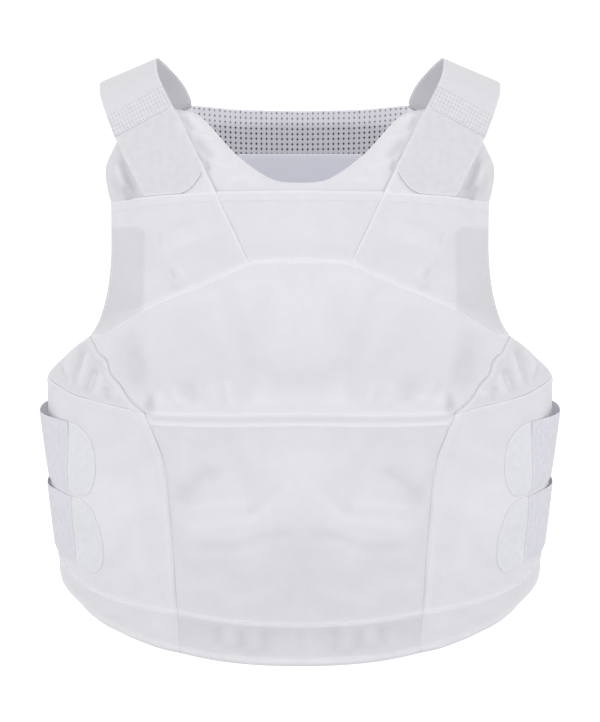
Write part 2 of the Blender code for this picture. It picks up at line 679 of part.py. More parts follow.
def build_vest():
    """Build every piece of the vest."""
    finish = make_finishes()
    white, elastic, tab = (finish[name] for name in ("white_cloth", "white_elastic", "tab_cloth"))
    build_front_panel(white)
    build_yoke(white)
    build_landings(white)
    build_chest_pocket(white)
    build_waist(white)
    build_wings(white)
    build_hem(white)
    build_gussets(finish["thin_white_cloth"])
    build_back(white, finish["mesh_lining"], finish["label_satin"])
    build_shoulder_tabs(tab)
    build_shoulder_straps(elastic, white)
    build_side_straps(elastic, tab)


clear_scene()
VEST = bpy.data.collections.new("concealable_vest")
bpy.context.scene.collection.children.link(VEST)
build_vest()
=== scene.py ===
"""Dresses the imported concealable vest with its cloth, webbing, stitches and a plain studio.

The vest is filled out as it is worn. Each cloth is cut flat, in metres of real girth and height, and wrapped
round the form that fills the vest. The wearer's left is +X, the front faces -Y and up is +Z.
"""

import logging
import math
from collections.abc import Callable, Sequence
from dataclasses import dataclass, replace
from enum import Enum

import bpy
import numpy as np
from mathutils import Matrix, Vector
from mathutils.geometry import delaunay_2d_cdt
from mathutils.kdtree import KDTree


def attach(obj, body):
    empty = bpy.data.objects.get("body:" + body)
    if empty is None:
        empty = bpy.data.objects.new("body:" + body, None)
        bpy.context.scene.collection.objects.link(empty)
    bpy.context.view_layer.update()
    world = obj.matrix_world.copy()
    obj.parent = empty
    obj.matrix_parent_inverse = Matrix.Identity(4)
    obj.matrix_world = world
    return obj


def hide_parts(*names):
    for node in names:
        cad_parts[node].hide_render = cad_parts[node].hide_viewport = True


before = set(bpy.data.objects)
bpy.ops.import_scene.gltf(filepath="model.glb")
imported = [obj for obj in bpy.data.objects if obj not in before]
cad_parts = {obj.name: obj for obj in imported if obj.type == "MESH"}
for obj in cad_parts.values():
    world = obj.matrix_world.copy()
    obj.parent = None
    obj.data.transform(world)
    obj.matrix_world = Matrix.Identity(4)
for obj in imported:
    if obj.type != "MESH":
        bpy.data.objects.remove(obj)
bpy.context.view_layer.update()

LOG = logging.getLogger("vest")
ROOT = "root"

Array = np.ndarray
Line = tuple[tuple[float, float], ...]
Lift = Callable[[Array], Array]

MM = 0.001
SIDES = (("left", False), ("right", True))
SEAM_HALF_GAP = 0.008 * MM
LAYER_GAP = 0.35 * MM
OUTLINE_STEP = 1.5 * MM
SAME_POINT = 0.5 * MM
TINY = 1e-9
SHARP_ANGLE = math.radians(50)

# The least width and length that a cloth's flat cut is taken to have.
SMALLEST_CUT = 10.1 * MM


# The form under the vest, unrolled to girth and height.

@dataclass(frozen=True)
class Section:
    """One level of the form."""

    height: float
    half_width: float
    front_depth: float
    back_depth: float


FORM_SECTIONS = (
    Section(0.020, 0.178, 0.012, 0.028),
    Section(-0.020, 0.178, 0.038, 0.050),
    Section(-0.050, 0.178, 0.060, 0.068),
    Section(-0.085, 0.178, 0.082, 0.084),
    Section(-0.130, 0.178, 0.101, 0.097),
    Section(-0.190, 0.178, 0.114, 0.103),
    Section(-0.250, 0.178, 0.118, 0.100),
    Section(-0.310, 0.175, 0.117, 0.093),
    Section(-0.370, 0.170, 0.114, 0.089),
    Section(-0.440, 0.161, 0.108, 0.091),
)


def smooth_values(places: Array, values: Array, at: Array) -> Array:
    """A smooth curve through table values.

    Args:
        places: Rising places of the table.
        values: The table's values.
        at: Places to read the curve at.

    Returns:
        The curve's value at each place, held at the table's ends.
    """
    slopes = np.gradient(values, places)
    at = np.clip(at, places[0], places[-1])
    low = np.clip(np.searchsorted(places, at, side="right") - 1, 0, len(places) - 2)
    span = places[low + 1] - places[low]
    t = (at - places[low]) / span
    return ((1 + 2 * t) * (1 - t) ** 2 * values[low] + t * (1 - t) ** 2 * span * slopes[low]
            + t * t * (3 - 2 * t) * values[low + 1] + t * t * (t - 1) * span * slopes[low + 1])


def unit(vectors: Array) -> Array:
    """Vectors, along the last axis, brought to length 1."""
    return vectors / np.linalg.norm(vectors, axis=-1, keepdims=True)


class Form:
    """The filled shape that the vest is wrapped on, sampled on a fine grid of girth share and height."""

    SQUARENESS = 2.35
    LEVEL_STEP = 1.0 * MM
    COLUMNS = 481
    TURN_STEPS = 960

    def __init__(self, sections: Sequence[Section]) -> None:
        """Samples the form.

        Args:
            sections: The form's levels, from the top down.
        """
        rows = sections[::-1]
        table = np.array([(row.height, row.half_width, row.front_depth, row.back_depth) for row in rows])
        levels = round((table[-1, 0] - table[0, 0]) / self.LEVEL_STEP) + 1
        self.levels = np.linspace(table[0, 0], table[-1, 0], levels)
        width, front, back = (smooth_values(table[:, 0], table[:, k], self.levels) for k in (1, 2, 3))
        turn = np.linspace(0.0, math.pi, self.TURN_STEPS + 1)
        sine, cosine = np.abs(np.sin(turn)), np.cos(turn)
        power = 2.0 / self.SQUARENESS
        x = width[:, None] * sine ** power
        depth = np.where(cosine >= 0, front[:, None], back[:, None])
        y = -np.sign(cosine) * depth * np.abs(cosine) ** power
        steps = np.hypot(np.diff(x, axis=1), np.diff(y, axis=1))
        girth = np.concatenate([np.zeros((levels, 1)), np.cumsum(steps, axis=1)], axis=1)
        self.half_girth = girth[:, -1]
        shares = np.linspace(0.0, 1.0, self.COLUMNS)
        self.points = np.empty((levels, self.COLUMNS, 3))
        for row in range(levels):
            at = shares * girth[row, -1]
            self.points[row, :, 0] = np.interp(at, girth[row], x[row])
            self.points[row, :, 1] = np.interp(at, girth[row], y[row])
            self.points[row, :, 2] = self.levels[row]
        self.normals = self._normals()

    def _normals(self) -> Array:
        """The grid's outward unit normals, with the two centre lines kept in the middle plane."""
        across = np.gradient(self.points, axis=1)
        across[:, 0] = (1.0, 0.0, 0.0)
        across[:, -1] = (-1.0, 0.0, 0.0)
        return unit(np.cross(across, np.gradient(self.points, axis=0)))

    def girth_at(self, height: Array) -> Array:
        """The form's girth from centre front to centre back at each height."""
        return np.interp(height, self.levels, self.half_girth)

    def _sample(self, grid: Array, row: Array, column: Array) -> Array:
        """Values of a grid between its samples."""
        i = np.clip(row.astype(int), 0, len(self.levels) - 2)
        j = np.clip(column.astype(int), 0, self.COLUMNS - 2)
        s, t = (row - i)[:, None], (column - j)[:, None]
        low = grid[i, j] * (1 - t) + grid[i, j + 1] * t
        high = grid[i + 1, j] * (1 - t) + grid[i + 1, j + 1] * t
        return low * (1 - s) + high * s

    def place(self, flat: Array, offset: Array | float, from_back: bool = False) -> Array:
        """Wraps flat points round the form.

        Args:
            flat: Girth distance from the centre line and height of each point.
            offset: How far each point stands off the form.
            from_back: The girth is measured from the centre back.

        Returns:
            The points in the vest's frame.
        """
        share = np.abs(flat[:, 0]) / self.girth_at(flat[:, 1])
        if from_back:
            share = 1.0 - share
        row = (flat[:, 1] - self.levels[0]) / self.LEVEL_STEP
        column = share * (self.COLUMNS - 1)
        offset = np.broadcast_to(offset, len(flat))[:, None]
        normals = unit(self._sample(self.normals, row, column))
        placed = self._sample(self.points, row, column) + normals * offset
        placed[:, 0] *= np.where(flat[:, 0] < 0, -1.0, 1.0)
        return placed


FORM = Form(FORM_SECTIONS)


# Lines on the flat cloth.

def bend(t: Array, a: Array, b: Array, c: Array, d: Array) -> Array:
    """Values between b and c on a curve that also heeds a and d, with t from 0 to 1."""
    curved = (2 * a - 5 * b + 4 * c - d) * t ** 2 + (3 * b - a - 3 * c + d) * t ** 3
    return 0.5 * (2 * b + (c - a) * t + curved)


def smooth_line(line: Line, step: float = OUTLINE_STEP) -> Array:
    """A smooth line through points.

    Args:
        line: The points, two of which make a straight line.
        step: Spacing of the new points.

    Returns:
        The dense line, from the first point to the last.
    """
    points = np.asarray(line, dtype=float)
    padded = np.vstack([points[:1], points, points[-1:]])
    if len(points) == 2:
        padded = np.vstack([2 * points[:1] - points[1:], points, 2 * points[1:] - points[:1]])
    pieces = []
    for a, b, c, d in zip(padded, padded[1:], padded[2:], padded[3:]):
        steps = max(1, round(float(np.linalg.norm(c - b)) / step))
        pieces.append(bend(np.arange(steps)[:, None] / steps, a, b, c, d))
    return np.vstack([*pieces, points[-1:]])


def running_sum(steps: Array) -> Array:
    """Nothing, and then the running sum of steps."""
    return np.concatenate([[0.0], np.cumsum(steps)])


def step_lengths(line: Array) -> Array:
    """Distance from each point of a line to the next."""
    return np.linalg.norm(np.diff(line, axis=0), axis=1)


def joined(*edges: Line) -> Array:
    """One dense line from edges that meet end to end."""
    line = smooth_line(edges[0])
    for edge in edges[1:]:
        following = smooth_line(edge)
        skip = int(np.linalg.norm(following[0] - line[-1]) < SAME_POINT)
        line = np.vstack([line, following[skip:]])
    return line


def beside(line: Line, shift: float) -> Line:
    """A line moved sideways, to its left where the shift is above nothing."""
    dense = smooth_line(line, 2 * OUTLINE_STEP)
    along = unit(np.gradient(dense, axis=0))
    return tuple(map(tuple, dense + np.column_stack([-along[:, 1], along[:, 0]]) * shift))


def closed(line: Array) -> Array:
    """A closed outline, without a repeated last point."""
    return line[:-1] if np.linalg.norm(line[0] - line[-1]) < SAME_POINT else line


def both_halves(half: Array) -> Array:
    """A symmetric outline from a half line that runs from the centre line back to the centre line."""
    other = half[::-1] * (-1.0, 1.0)
    return closed(np.vstack([half, other[np.abs(other[:, 0]) > SAME_POINT]]))


def one_side(flat: Array) -> Array:
    """Points of either side of the body, all moved to its left side."""
    return np.column_stack([np.abs(flat[:, 0]), flat[:, 1]])


def signed_area(outline: Array) -> float:
    """Area of an outline, positive where it runs anticlockwise."""
    following = np.roll(outline, -1, axis=0)
    return float(0.5 * (outline[:, 0] * following[:, 1] - following[:, 0] * outline[:, 1]).sum())


def inward_normals(outline: Array) -> Array:
    """Unit directions into an anticlockwise outline at each of its points."""
    along = np.roll(outline, -1, axis=0) - np.roll(outline, 1, axis=0)
    inward = np.column_stack([-along[:, 1], along[:, 0]])
    return inward / np.maximum(np.linalg.norm(inward, axis=1, keepdims=True), TINY)


def inset(outline: Array, margin: float) -> Array:
    """An outline, made anticlockwise, moved inwards by a margin."""
    outline = outline if signed_area(outline) > 0 else outline[::-1]
    return outline + inward_normals(outline) * margin


def point_tree(points: Array) -> KDTree:
    """A search tree of flat points."""
    tree = KDTree(len(points))
    for index, (x, y) in enumerate(points):
        tree.insert((x, y, 0.0), index)
    tree.balance()
    return tree


@dataclass(frozen=True)
class Nearest:
    """Where points lie beside a line: their distance to it and along it."""

    gap: Array
    along: Array


def nearest(flat: Array, line: Array, loop: bool = False) -> Nearest:
    """Finds how points lie beside a dense line.

    Args:
        flat: The points.
        line: The dense line.
        loop: The line's last point joins its first.

    Returns:
        Each point's place beside the line.
    """
    line = np.vstack([line, line[:1]]) if loop else line
    tree = point_tree(line)
    closest = np.array([tree.find((x, y, 0.0))[1] for x, y in flat], dtype=int)
    run = np.diff(line, axis=0)
    length = step_lengths(line)
    reach = running_sum(length)
    gap, along = np.full(len(flat), np.inf), np.zeros(len(flat))
    for shift in (-1, 0):
        k = closest + shift
        k = k % len(run) if loop else np.clip(k, 0, len(run) - 1)
        offset = flat - line[k]
        share = np.clip((offset * run[k]).sum(1) / np.maximum(length[k] ** 2, TINY ** 2), 0.0, 1.0)
        distance = np.linalg.norm(offset - share[:, None] * run[k], axis=1)
        better = distance < gap
        gap = np.where(better, distance, gap)
        along = np.where(better, reach[k] + share * length[k], along)
    return Nearest(gap, along)


def contains(outline: Array, flat: Array) -> Array:
    """Which points lie inside a closed outline."""
    inside = np.zeros(len(flat), dtype=bool)
    x, y = flat[:, 0], flat[:, 1]
    for (ax, ay), (bx, by) in zip(outline, np.roll(outline, -1, axis=0)):
        if ay != by:
            crosses = (ay > y) != (by > y)
            inside ^= crosses & (x < (bx - ax) * (y - ay) / (by - ay) + ax)
    return inside


# The tables of seams and edges, each in girth from the centre line and height.

FRONT_NECK: Line = ((0.0, -0.0853), (0.0203, -0.0828), (0.0457, -0.0659), (0.0676, -0.0432), (0.080, -0.035))
FRONT_SHOULDER: Line = ((0.0915, -0.0325), (0.1355, -0.0575))
FRONT_ARMHOLE_TOP: Line = ((0.1355, -0.0575), (0.1437, -0.075), (0.142, -0.0915), (0.1388, -0.101))
FRONT_ARMHOLE_SIDE: Line = ((0.1388, -0.101), (0.1385, -0.133), (0.1408, -0.158), (0.145, -0.1735),
                            (0.1502, -0.1855), (0.157, -0.1945))
FRONT_ARMPIT: Line = ((0.157, -0.1945), (0.1687, -0.2005), (0.1817, -0.2085), (0.1957, -0.2165),
                      (0.212, -0.2245), (0.227, -0.230))
WING_TOP_SIDE: Line = ((0.227, -0.230), (0.232, -0.2312))
FRONT_SIDE: Line = ((0.232, -0.2312), (0.231, -0.362))
HEM_SIDE: Line = ((0.231, -0.362), (0.230, -0.380))
HEM_CORNER: Line = ((0.230, -0.380), (0.205, -0.389), (0.181, -0.3975), (0.147, -0.4105), (0.106, -0.4225),
                    (0.0857, -0.4262))
HEM_CENTRE: Line = ((0.0857, -0.4262), (0.0565, -0.431), (0.028, -0.4332), (0.0, -0.4338))
HEM_STITCH_SIDE: Line = ((0.231, -0.362), (0.205, -0.368), (0.1645, -0.3815), (0.122, -0.390),
                         (0.0872, -0.3938))
HEM_STITCH_CENTRE: Line = ((0.0872, -0.3938), (0.0565, -0.3978), (0.028, -0.4003), (0.0, -0.4012))
YOKE_TOP_CENTRE: Line = ((0.0, -0.0925), (0.060, -0.0935))
YOKE_TOP_SIDE: Line = ((0.060, -0.0935), (0.107, -0.0965), (0.1388, -0.101))
DIAGONAL_UPPER: Line = ((0.0905, -0.0355), (0.060, -0.0935))
DIAGONAL_LOWER: Line = ((0.060, -0.0935), (0.036, -0.142))
LANDING_OUTER: Line = ((0.1345, -0.0585), (0.112, -0.097))
ARCH_CENTRE: Line = ((0.0, -0.1405), (0.018, -0.1405), (0.036, -0.142))
ARCH_SIDE: Line = ((0.036, -0.142), (0.060, -0.153), (0.1065, -0.1725), (0.140, -0.192), (0.157, -0.1945))
GUSSET_SEAM: Line = ((0.157, -0.1945), (0.1515, -0.2015), (0.1474, -0.2075), (0.143, -0.2099),
                     (0.1397, -0.2133), (0.1364, -0.2224), (0.1291, -0.2292), (0.1213, -0.2402),
                     (0.1095, -0.249))
WING_TOP_FRONT: Line = ((0.227, -0.230), (0.2135, -0.231), (0.1925, -0.2351), (0.1753, -0.239),
                        (0.1591, -0.2412), (0.1304, -0.245), (0.1095, -0.249))
WAIST_TOP: Line = ((0.1095, -0.249), (0.070, -0.2493), (0.0, -0.248))
WAIST_LOW: Line = ((0.1075, -0.255), (0.070, -0.2553), (0.0, -0.254))
WING_SEAM_TOP: Line = ((0.1095, -0.249), (0.1075, -0.255))
WING_SEAM: Line = ((0.1075, -0.255), (0.104, -0.2645), (0.0984, -0.2784), (0.0948, -0.2946),
                   (0.0926, -0.3124), (0.0898, -0.3498), (0.0872, -0.3938))
WING_SEAM_HEM: Line = ((0.0872, -0.3938), (0.0857, -0.4262))
BACK_NECK: Line = ((0.0, -0.038), (0.045, -0.037), (0.078, -0.034))
BACK_SHOULDER: Line = ((0.082, -0.0335), (0.1275, -0.054))
BACK_ARMHOLE: Line = ((0.1275, -0.054), (0.134, -0.075), (0.131, -0.115), (0.133, -0.152), (0.144, -0.188),
                      (0.176, -0.217), (0.212, -0.236))
BACK_SIDE: Line = ((0.212, -0.236), (0.209, -0.374))
BACK_HEM: Line = ((0.209, -0.374), (0.165, -0.388), (0.090, -0.398), (0.0, -0.401))

FRONT_OUTLINE = both_halves(joined(
    FRONT_NECK, FRONT_SHOULDER, FRONT_ARMHOLE_TOP, FRONT_ARMHOLE_SIDE, FRONT_ARMPIT, WING_TOP_SIDE,
    FRONT_SIDE, HEM_SIDE, HEM_CORNER, HEM_CENTRE))
BACK_OUTLINE = both_halves(joined(BACK_NECK, BACK_SHOULDER, BACK_ARMHOLE, BACK_SIDE, BACK_HEM))


# Relief of the cloth: folds, puckers and swells, as rises over the flat cloth.

FOLD_REACH = 3.0
WAVES = 14
WAVE_PITCHES = (0.6, 1.7)
# Share of the fullness's rise that paints highlight on swells and shade in hollows.
FULLNESS_SHADE = 0.6


def faded(place: Array, start: float, end: float) -> Array:
    """A soft step from 0 at start to 1 at end."""
    t = np.clip((place - start) / (end - start), 0.0, 1.0)
    return t * t * (3 - 2 * t)


@dataclass(frozen=True)
class Fold:
    """A soft ridge along a line, or a furrow where its rise is negative.

    It fades out over a share (taper) of its length at both ends.
    """

    line: Line
    rise: float
    width: float
    taper: float = 0.3

    def lift(self, flat: Array) -> Array:
        """The fold's rise at each point."""
        line = smooth_line(self.line)
        rise = np.zeros(len(flat))
        reach = FOLD_REACH * self.width
        low, high = line.min(axis=0) - reach, line.max(axis=0) + reach
        near = ((flat > low) & (flat < high)).all(axis=1)
        if near.any():
            spot = nearest(flat[near], line)
            ends = 1.0
            if self.taper:
                place = spot.along / float(step_lengths(line).sum())
                ends = faded(place, 0.0, self.taper) * faded(1 - place, 0.0, self.taper)
            rise[near] = self.rise * np.exp(-(spot.gap / self.width) ** 2) * ends
        return rise


@dataclass(frozen=True)
class Band:
    """A strip beside a line that lies one layer higher, as a turned hem does."""

    line: Line
    rise: float
    width: float
    soft: float = 1.2 * MM

    def lift(self, flat: Array) -> Array:
        """The strip's rise at each point."""
        gap = nearest(flat, smooth_line(self.line)).gap
        return self.rise * (1 - faded(gap, self.width - self.soft, self.width))


@dataclass(frozen=True)
class Ramp:
    """A lift that grows outwards from the centre line between two girths."""

    start: float
    end: float
    rise: float

    def lift(self, flat: Array) -> Array:
        """The ramp's rise at each point."""
        return self.rise * faded(flat[:, 0], self.start, self.end)


@dataclass(frozen=True)
class Undulation:
    """Slow uneven swells of a cloth."""

    seed: int
    length: float
    rise: float

    def lift(self, flat: Array) -> Array:
        """The swells' rise at each point, a sum of waves with random directions and pitches."""
        dice = np.random.default_rng(self.seed)
        rise = np.zeros(len(flat))
        for _ in range(WAVES):
            turn, phase = dice.uniform(0, 2 * math.pi, 2)
            pitch = self.length * dice.uniform(*WAVE_PITCHES)
            place = flat[:, 0] * math.cos(turn) + flat[:, 1] * math.sin(turn)
            rise += np.cos(2 * math.pi * place / pitch + phase)
        return self.rise * rise / math.sqrt(WAVES)


@dataclass(frozen=True)
class Swell:
    """A lift that is fullest in the middle of a piece and nothing at its seams."""

    rise: float
    half_width: float
    top: float
    bottom: float

    def lift(self, flat: Array) -> Array:
        """The swell's rise at each point."""
        level = np.clip((self.top - flat[:, 1]) / (self.top - self.bottom), 0.0, 1.0)
        middle = np.clip(1 - (flat[:, 0] / self.half_width) ** 2, 0.0, 1.0)
        return self.rise * middle * np.sin(math.pi * level)


Relief = Fold | Band | Ramp | Undulation | Swell


def relief_lift(reliefs: Sequence[Relief], flat: Array) -> Array:
    """The sum of reliefs at points of either side of the body."""
    flat = one_side(flat)
    return sum((relief.lift(flat) for relief in reliefs), np.zeros(len(flat)))


def painted_light_and_tint(reliefs: Sequence[Relief], flat: Array, fullness: Array | float = 0.0) -> Array:
    """The painted light that the folds and the fullness give each point: painted shade in a furrow, down to
    -1, and painted highlight on a ridge, up to 1.
    """
    folds = [relief for relief in reliefs if isinstance(relief, (Fold, Band))]
    return np.clip((relief_lift(folds, flat) + FULLNESS_SHADE * fullness) / MM, -1.0, 1.0)


def quads(grid: Array) -> Array:
    """The four corners of each cell of a grid of point numbers."""
    return np.stack([grid[:-1, :-1], grid[1:, :-1], grid[1:, 1:], grid[:-1, 1:]], axis=-1).reshape(-1, 4)


@dataclass
class Settled:
    """The fullness of a panel's cloth between its seams, from a cloth simulation of its flat cut.

    The cloth is a little too large for its pinned seams, so it buckles and swells between them. Nothing rises
    inside the held patches, where something is fastened on the panel.
    """

    outline: Array
    seams: tuple[Line, ...]
    held: tuple[Line, ...]
    seed: int
    rise: float
    highest: float = 1.5
    peak_percentile: float = 95
    spacing: float = 5 * MM
    pinned: float = 4 * MM
    growth: float = 0.04
    fold_length: float = 26 * MM
    unevenness: float = 0.5 * MM
    pressure: float = 1.0
    stiffness: float = 0.15
    quality: int = 6
    frames: int = 20
    mirrored: bool = True
    heights: Array | None = None
    corner: Array | None = None

    def lift(self, flat: Array) -> Array:
        """The settled cloth's rise at each point, smooth between the grid's points."""
        if self.heights is None:
            self.settle()
        place = (flat - self.corner) / self.spacing
        whole = np.clip(np.round(place).astype(int), 1, np.array(self.heights.shape) - 2)
        part = np.clip(place - whole, -0.5, 0.5)
        weights = ((0.5 - part) ** 2 / 2, 0.75 - part ** 2, (0.5 + part) ** 2 / 2)
        rise = np.zeros(len(flat))
        for i in (-1, 0, 1):
            for k in (-1, 0, 1):
                rise += (weights[i + 1][:, 0] * weights[k + 1][:, 1]
                         * self.heights[whole[:, 0] + i, whole[:, 1] + k])
        return rise

    def settle(self) -> None:
        low, high = self.outline.min(axis=0), self.outline.max(axis=0)
        half = math.ceil(high[0] / self.spacing) + 2
        columns = np.arange(-half, half + 1) * self.spacing
        rows = np.arange(low[1] - 2 * self.spacing, high[1] + 3 * self.spacing, self.spacing)
        self.corner = np.array((columns[0], rows[0]))
        self.heights = np.zeros((len(columns), len(rows)))
        points = np.stack(np.meshgrid(columns, rows, indexing="ij"), axis=-1).reshape(-1, 2)
        inside = contains(self.outline, points)
        free = nearest(points, self.outline, loop=True).gap > self.pinned
        for seam in self.seams:
            free &= nearest(one_side(points), smooth_line(seam)).gap > self.pinned
        for patch in self.held:
            free &= ~contains(np.asarray(patch), one_side(points))
        cloth = self.cloth_object(points, inside, ~free)
        scene = bpy.context.scene
        for step in range(1, self.frames + 1):
            scene.frame_set(step)
        mesh = cloth.evaluated_get(bpy.context.evaluated_depsgraph_get()).data
        spots = np.empty(3 * len(mesh.vertices))
        mesh.vertices.foreach_get("co", spots)
        settled = np.zeros(len(points))
        settled[inside] = spots[2::3]
        bpy.data.objects.remove(cloth)
        scene.frame_set(1)
        heights = settled.reshape(self.heights.shape)
        if self.mirrored:
            heights = (heights + heights[::-1]) / 2
        peak = float(np.percentile(np.abs(heights[heights != 0]), self.peak_percentile))
        self.heights = np.clip(heights * (self.rise / max(peak, TINY)), -self.rise, self.highest * self.rise)
        LOG.info("settled cloth: %d points, %.2f to %.2f mm", inside.sum(), self.heights.min() / MM,
                 self.heights.max() / MM)

    def cloth_object(self, points: Array, inside: Array, pinned: Array) -> bpy.types.Object:
        """The flat grid with its cloth modifier.

        Args:
            points: The whole grid's points.
            inside: Which of them lie within the cut.
            pinned: Which of them the seams hold.

        Returns:
            The cloth, ready to be stepped.
        """
        number = np.cumsum(inside) - 1
        corners = quads(np.arange(len(points)).reshape(self.heights.shape))
        faces = number[corners[inside[corners].all(axis=1)]]
        start = one_side(points) if self.mirrored else points
        uneven = Undulation(self.seed, self.fold_length, self.unevenness).lift(start)
        verts = np.column_stack([points, np.where(pinned, 0.0, uneven)])[inside]
        mesh = bpy.data.meshes.new("settled_cloth")
        mesh.from_pydata(verts.tolist(), [], faces.tolist())
        thing = bpy.data.objects.new("settled_cloth", mesh)
        bpy.context.scene.collection.objects.link(thing)
        group = thing.vertex_groups.new(name="seams")
        group.add(np.flatnonzero(pinned[inside]).tolist(), 1.0, "REPLACE")
        modifier = thing.modifiers.new("settle", "CLOTH")
        settings = modifier.settings
        settings.quality = self.quality
        settings.vertex_group_mass = group.name
        settings.effector_weights.gravity = 0.0
        settings.shrink_min = -self.growth
        settings.bending_stiffness = self.stiffness
        settings.use_pressure = True
        settings.uniform_pressure_force = self.pressure
        modifier.collision_settings.use_collision = False
        modifier.point_cache.frame_start, modifier.point_cache.frame_end = 1, self.frames
        return thing


# Cloth meshes.

RING_CLEARANCE = 0.55
RING_KEPT = 0.985
MERGE_DISTANCE = 1e-7
ON_EDGE = 1e-6
ROLL_TURNS = (25, 50, 72, 90)


@dataclass(frozen=True)
class FlatMesh:
    """A filled outline: its points, its triangles and each point's distance from the outline."""

    points: Array
    faces: Array
    edge: Array


def even_grid(outline: Array, spacing: float) -> Array:
    """Evenly spaced points over an outline's box, each row shifted by half a step."""
    low, high = outline.min(axis=0), outline.max(axis=0)
    rows = np.arange(low[1], high[1], spacing * math.sqrt(3) / 2)
    x, y = np.meshgrid(np.arange(low[0], high[0], spacing), rows)
    x = x + (np.arange(len(rows)) % 2 * spacing / 2)[:, None]
    return np.column_stack([x.ravel(), y.ravel()])


def fill(outline: Array, spacing: float, rings: Sequence[float], extra: Array | None = None,
         cells: Array | None = None) -> FlatMesh:
    """Fills an outline with triangles.

    Args:
        outline: The closed outline.
        spacing: Spacing of the points inside.
        rings: Distances from the outline at which a ring of points follows it.
        extra: Points to use inside, in place of an even grid.
        cells: Closed rims of equal length inside, whose edges the triangles keep.

    Returns:
        The filled outline.
    """
    outline = outline if signed_area(outline) > 0 else outline[::-1]
    inward = inward_normals(outline)
    extra = even_grid(outline, spacing) if extra is None else extra
    extra = extra[contains(outline, extra)]
    extra = extra[nearest(extra, outline, loop=True).gap > rings[-1] + RING_CLEARANCE * spacing]
    parts = [outline]
    for ring in rings:
        line = outline + inward * ring
        gap = nearest(line, outline, loop=True).gap
        parts.append(line[(gap > ring * RING_KEPT) & contains(outline, line)])
    parts.append(extra)
    count = len(outline)
    loop = [(k, (k + 1) % count) for k in range(count)]
    if cells is not None:
        start, corners = sum(len(part) for part in parts), cells.shape[1]
        parts.append(cells.reshape(-1, 2))
        loop += [(start + cell * corners + k, start + cell * corners + (k + 1) % corners)
                 for cell in range(len(cells)) for k in range(corners)]
    points = np.vstack(parts)
    verts, _, faces, *_ = delaunay_2d_cdt([Vector(point) for point in points], loop, [], 1, MERGE_DISTANCE)
    points = np.array([tuple(vert) for vert in verts])
    edge = nearest(points, outline, loop=True).gap
    edge[edge < ON_EDGE] = 0.0
    return FlatMesh(points, np.array(faces, dtype=int), edge)


def mesh_object(name: str, verts: Array, faces: Sequence[Sequence[int]], flat: Array,
                values: dict[str, Array]) -> bpy.types.Object:
    """Makes a smooth-shaded object.

    Args:
        name: The object's name.
        verts: Its points.
        faces: Its faces.
        flat: Where each point lies on the flat cloth, for the cloth's pattern.
        values: Named numbers at each point, for the finish.

    Returns:
        The object, at the origin.
    """
    mesh = bpy.data.meshes.new(name)
    mesh.from_pydata(verts.tolist(), [], [tuple(face) for face in faces])
    corners = np.empty(len(mesh.loops), dtype=np.int32)
    mesh.loops.foreach_get("vertex_index", corners)
    mesh.uv_layers.new(name=MAP_NAME).uv.foreach_set("vector", flat[corners].astype(np.float32).ravel())
    for label, numbers in values.items():
        mesh.attributes.new(label, "FLOAT", "POINT").data.foreach_set("value", numbers.astype(np.float32))
    mesh.polygons.foreach_set("use_smooth", np.ones(len(mesh.polygons), dtype=bool))
    mesh.set_sharp_from_angle(angle=SHARP_ANGLE)
    mesh.validate()
    thing = bpy.data.objects.new(name, mesh)
    bpy.context.scene.collection.objects.link(thing)
    return thing


def rounded(distance: Array, roll: float) -> Array:
    """How full a wall is at a distance from its rolled edge, from 0 at the edge to 1."""
    return np.sqrt(1 - (1 - np.clip(distance / roll, 0.0, 1.0)) ** 2)


@dataclass(frozen=True)
class Wall:
    """The thickness of a cloth or a pad, and how its edge rolls.

    The two sides meet at the edge, at a share (lip) of the thickness over the base.
    """

    thickness: float
    roll: float
    lip: float = 0.5

    def rings(self) -> tuple[float, ...]:
        """Distances from the edge at which the roll is followed."""
        return tuple(self.roll * (1 - math.cos(math.radians(turn))) for turn in ROLL_TURNS)

    def upper(self, edge: Array) -> Array:
        """Height of the outer side over the base."""
        return self.thickness * (self.lip + (1 - self.lip) * rounded(edge, self.roll))

    def lower(self, edge: Array) -> Array:
        """Height of the inner side over the base."""
        return self.thickness * self.lip * (1 - rounded(edge, self.roll))


def shell(name: str, flat: FlatMesh, wall: Wall, base: Array, under: Array | None = None,
          from_back: bool = False, mirrored: bool = False,
          values: dict[str, Array] | None = None) -> bpy.types.Object:
    """A closed cloth wall round the form, whose two sides meet in a rolled edge.

    Args:
        name: The object's name.
        flat: The filled outline.
        wall: Its thickness and roll.
        base: Lift of each point over the form.
        under: Lift of each point's inner side, where it isn't the base.
        from_back: The girth is measured from the centre back.
        mirrored: The piece is made on the other side of the body.
        values: Named numbers at each point, for the finish.

    Returns:
        The object.
    """
    placed = flat.points * (-1.0 if mirrored else 1.0, 1.0)
    outer = FORM.place(placed, base + wall.upper(flat.edge), from_back)
    inner = FORM.place(placed, (base if under is None else under) + wall.lower(flat.edge), from_back)
    within = flat.edge > 0
    number = np.cumsum(within) - 1 + len(outer)
    below = np.where(within, number, np.arange(len(outer)))
    faces = flat.faces
    a, b, c = (outer[faces[:, k]] for k in range(3))
    outward = (np.cross(b - a, c - a) * (a + b + c) * (1.0, 1.0, 0.0)).sum()
    faces = faces if outward >= 0 else faces[:, ::-1]
    numbers = {label: np.concatenate([row, row[within]])
               for label, row in {"edge": flat.edge, **(values or {})}.items()}
    return mesh_object(name, np.vstack([outer, inner[within]]), np.vstack([faces, below[faces][:, ::-1]]),
                       np.vstack([flat.points, flat.points[within]]), numbers)


# Finishes.

MAP_NAME = "flat_cloth"
FUZZ_DETAIL = 4.0
FUZZ_RANGE = (0.3, 0.7)
FINE_RANGE = (0.25, 0.75)
FINE_TIMES = 12
NAP_DETAIL = 3.0
RIB_HEIGHT = 0.6
CROSS_HEIGHT = 0.25
CROSS_PITCH = 0.8
HOLE_FULL = 0.7
HOLE_PAINTED_SHADE_COLOUR = (0.035, 0.037, 0.05, 1.0)


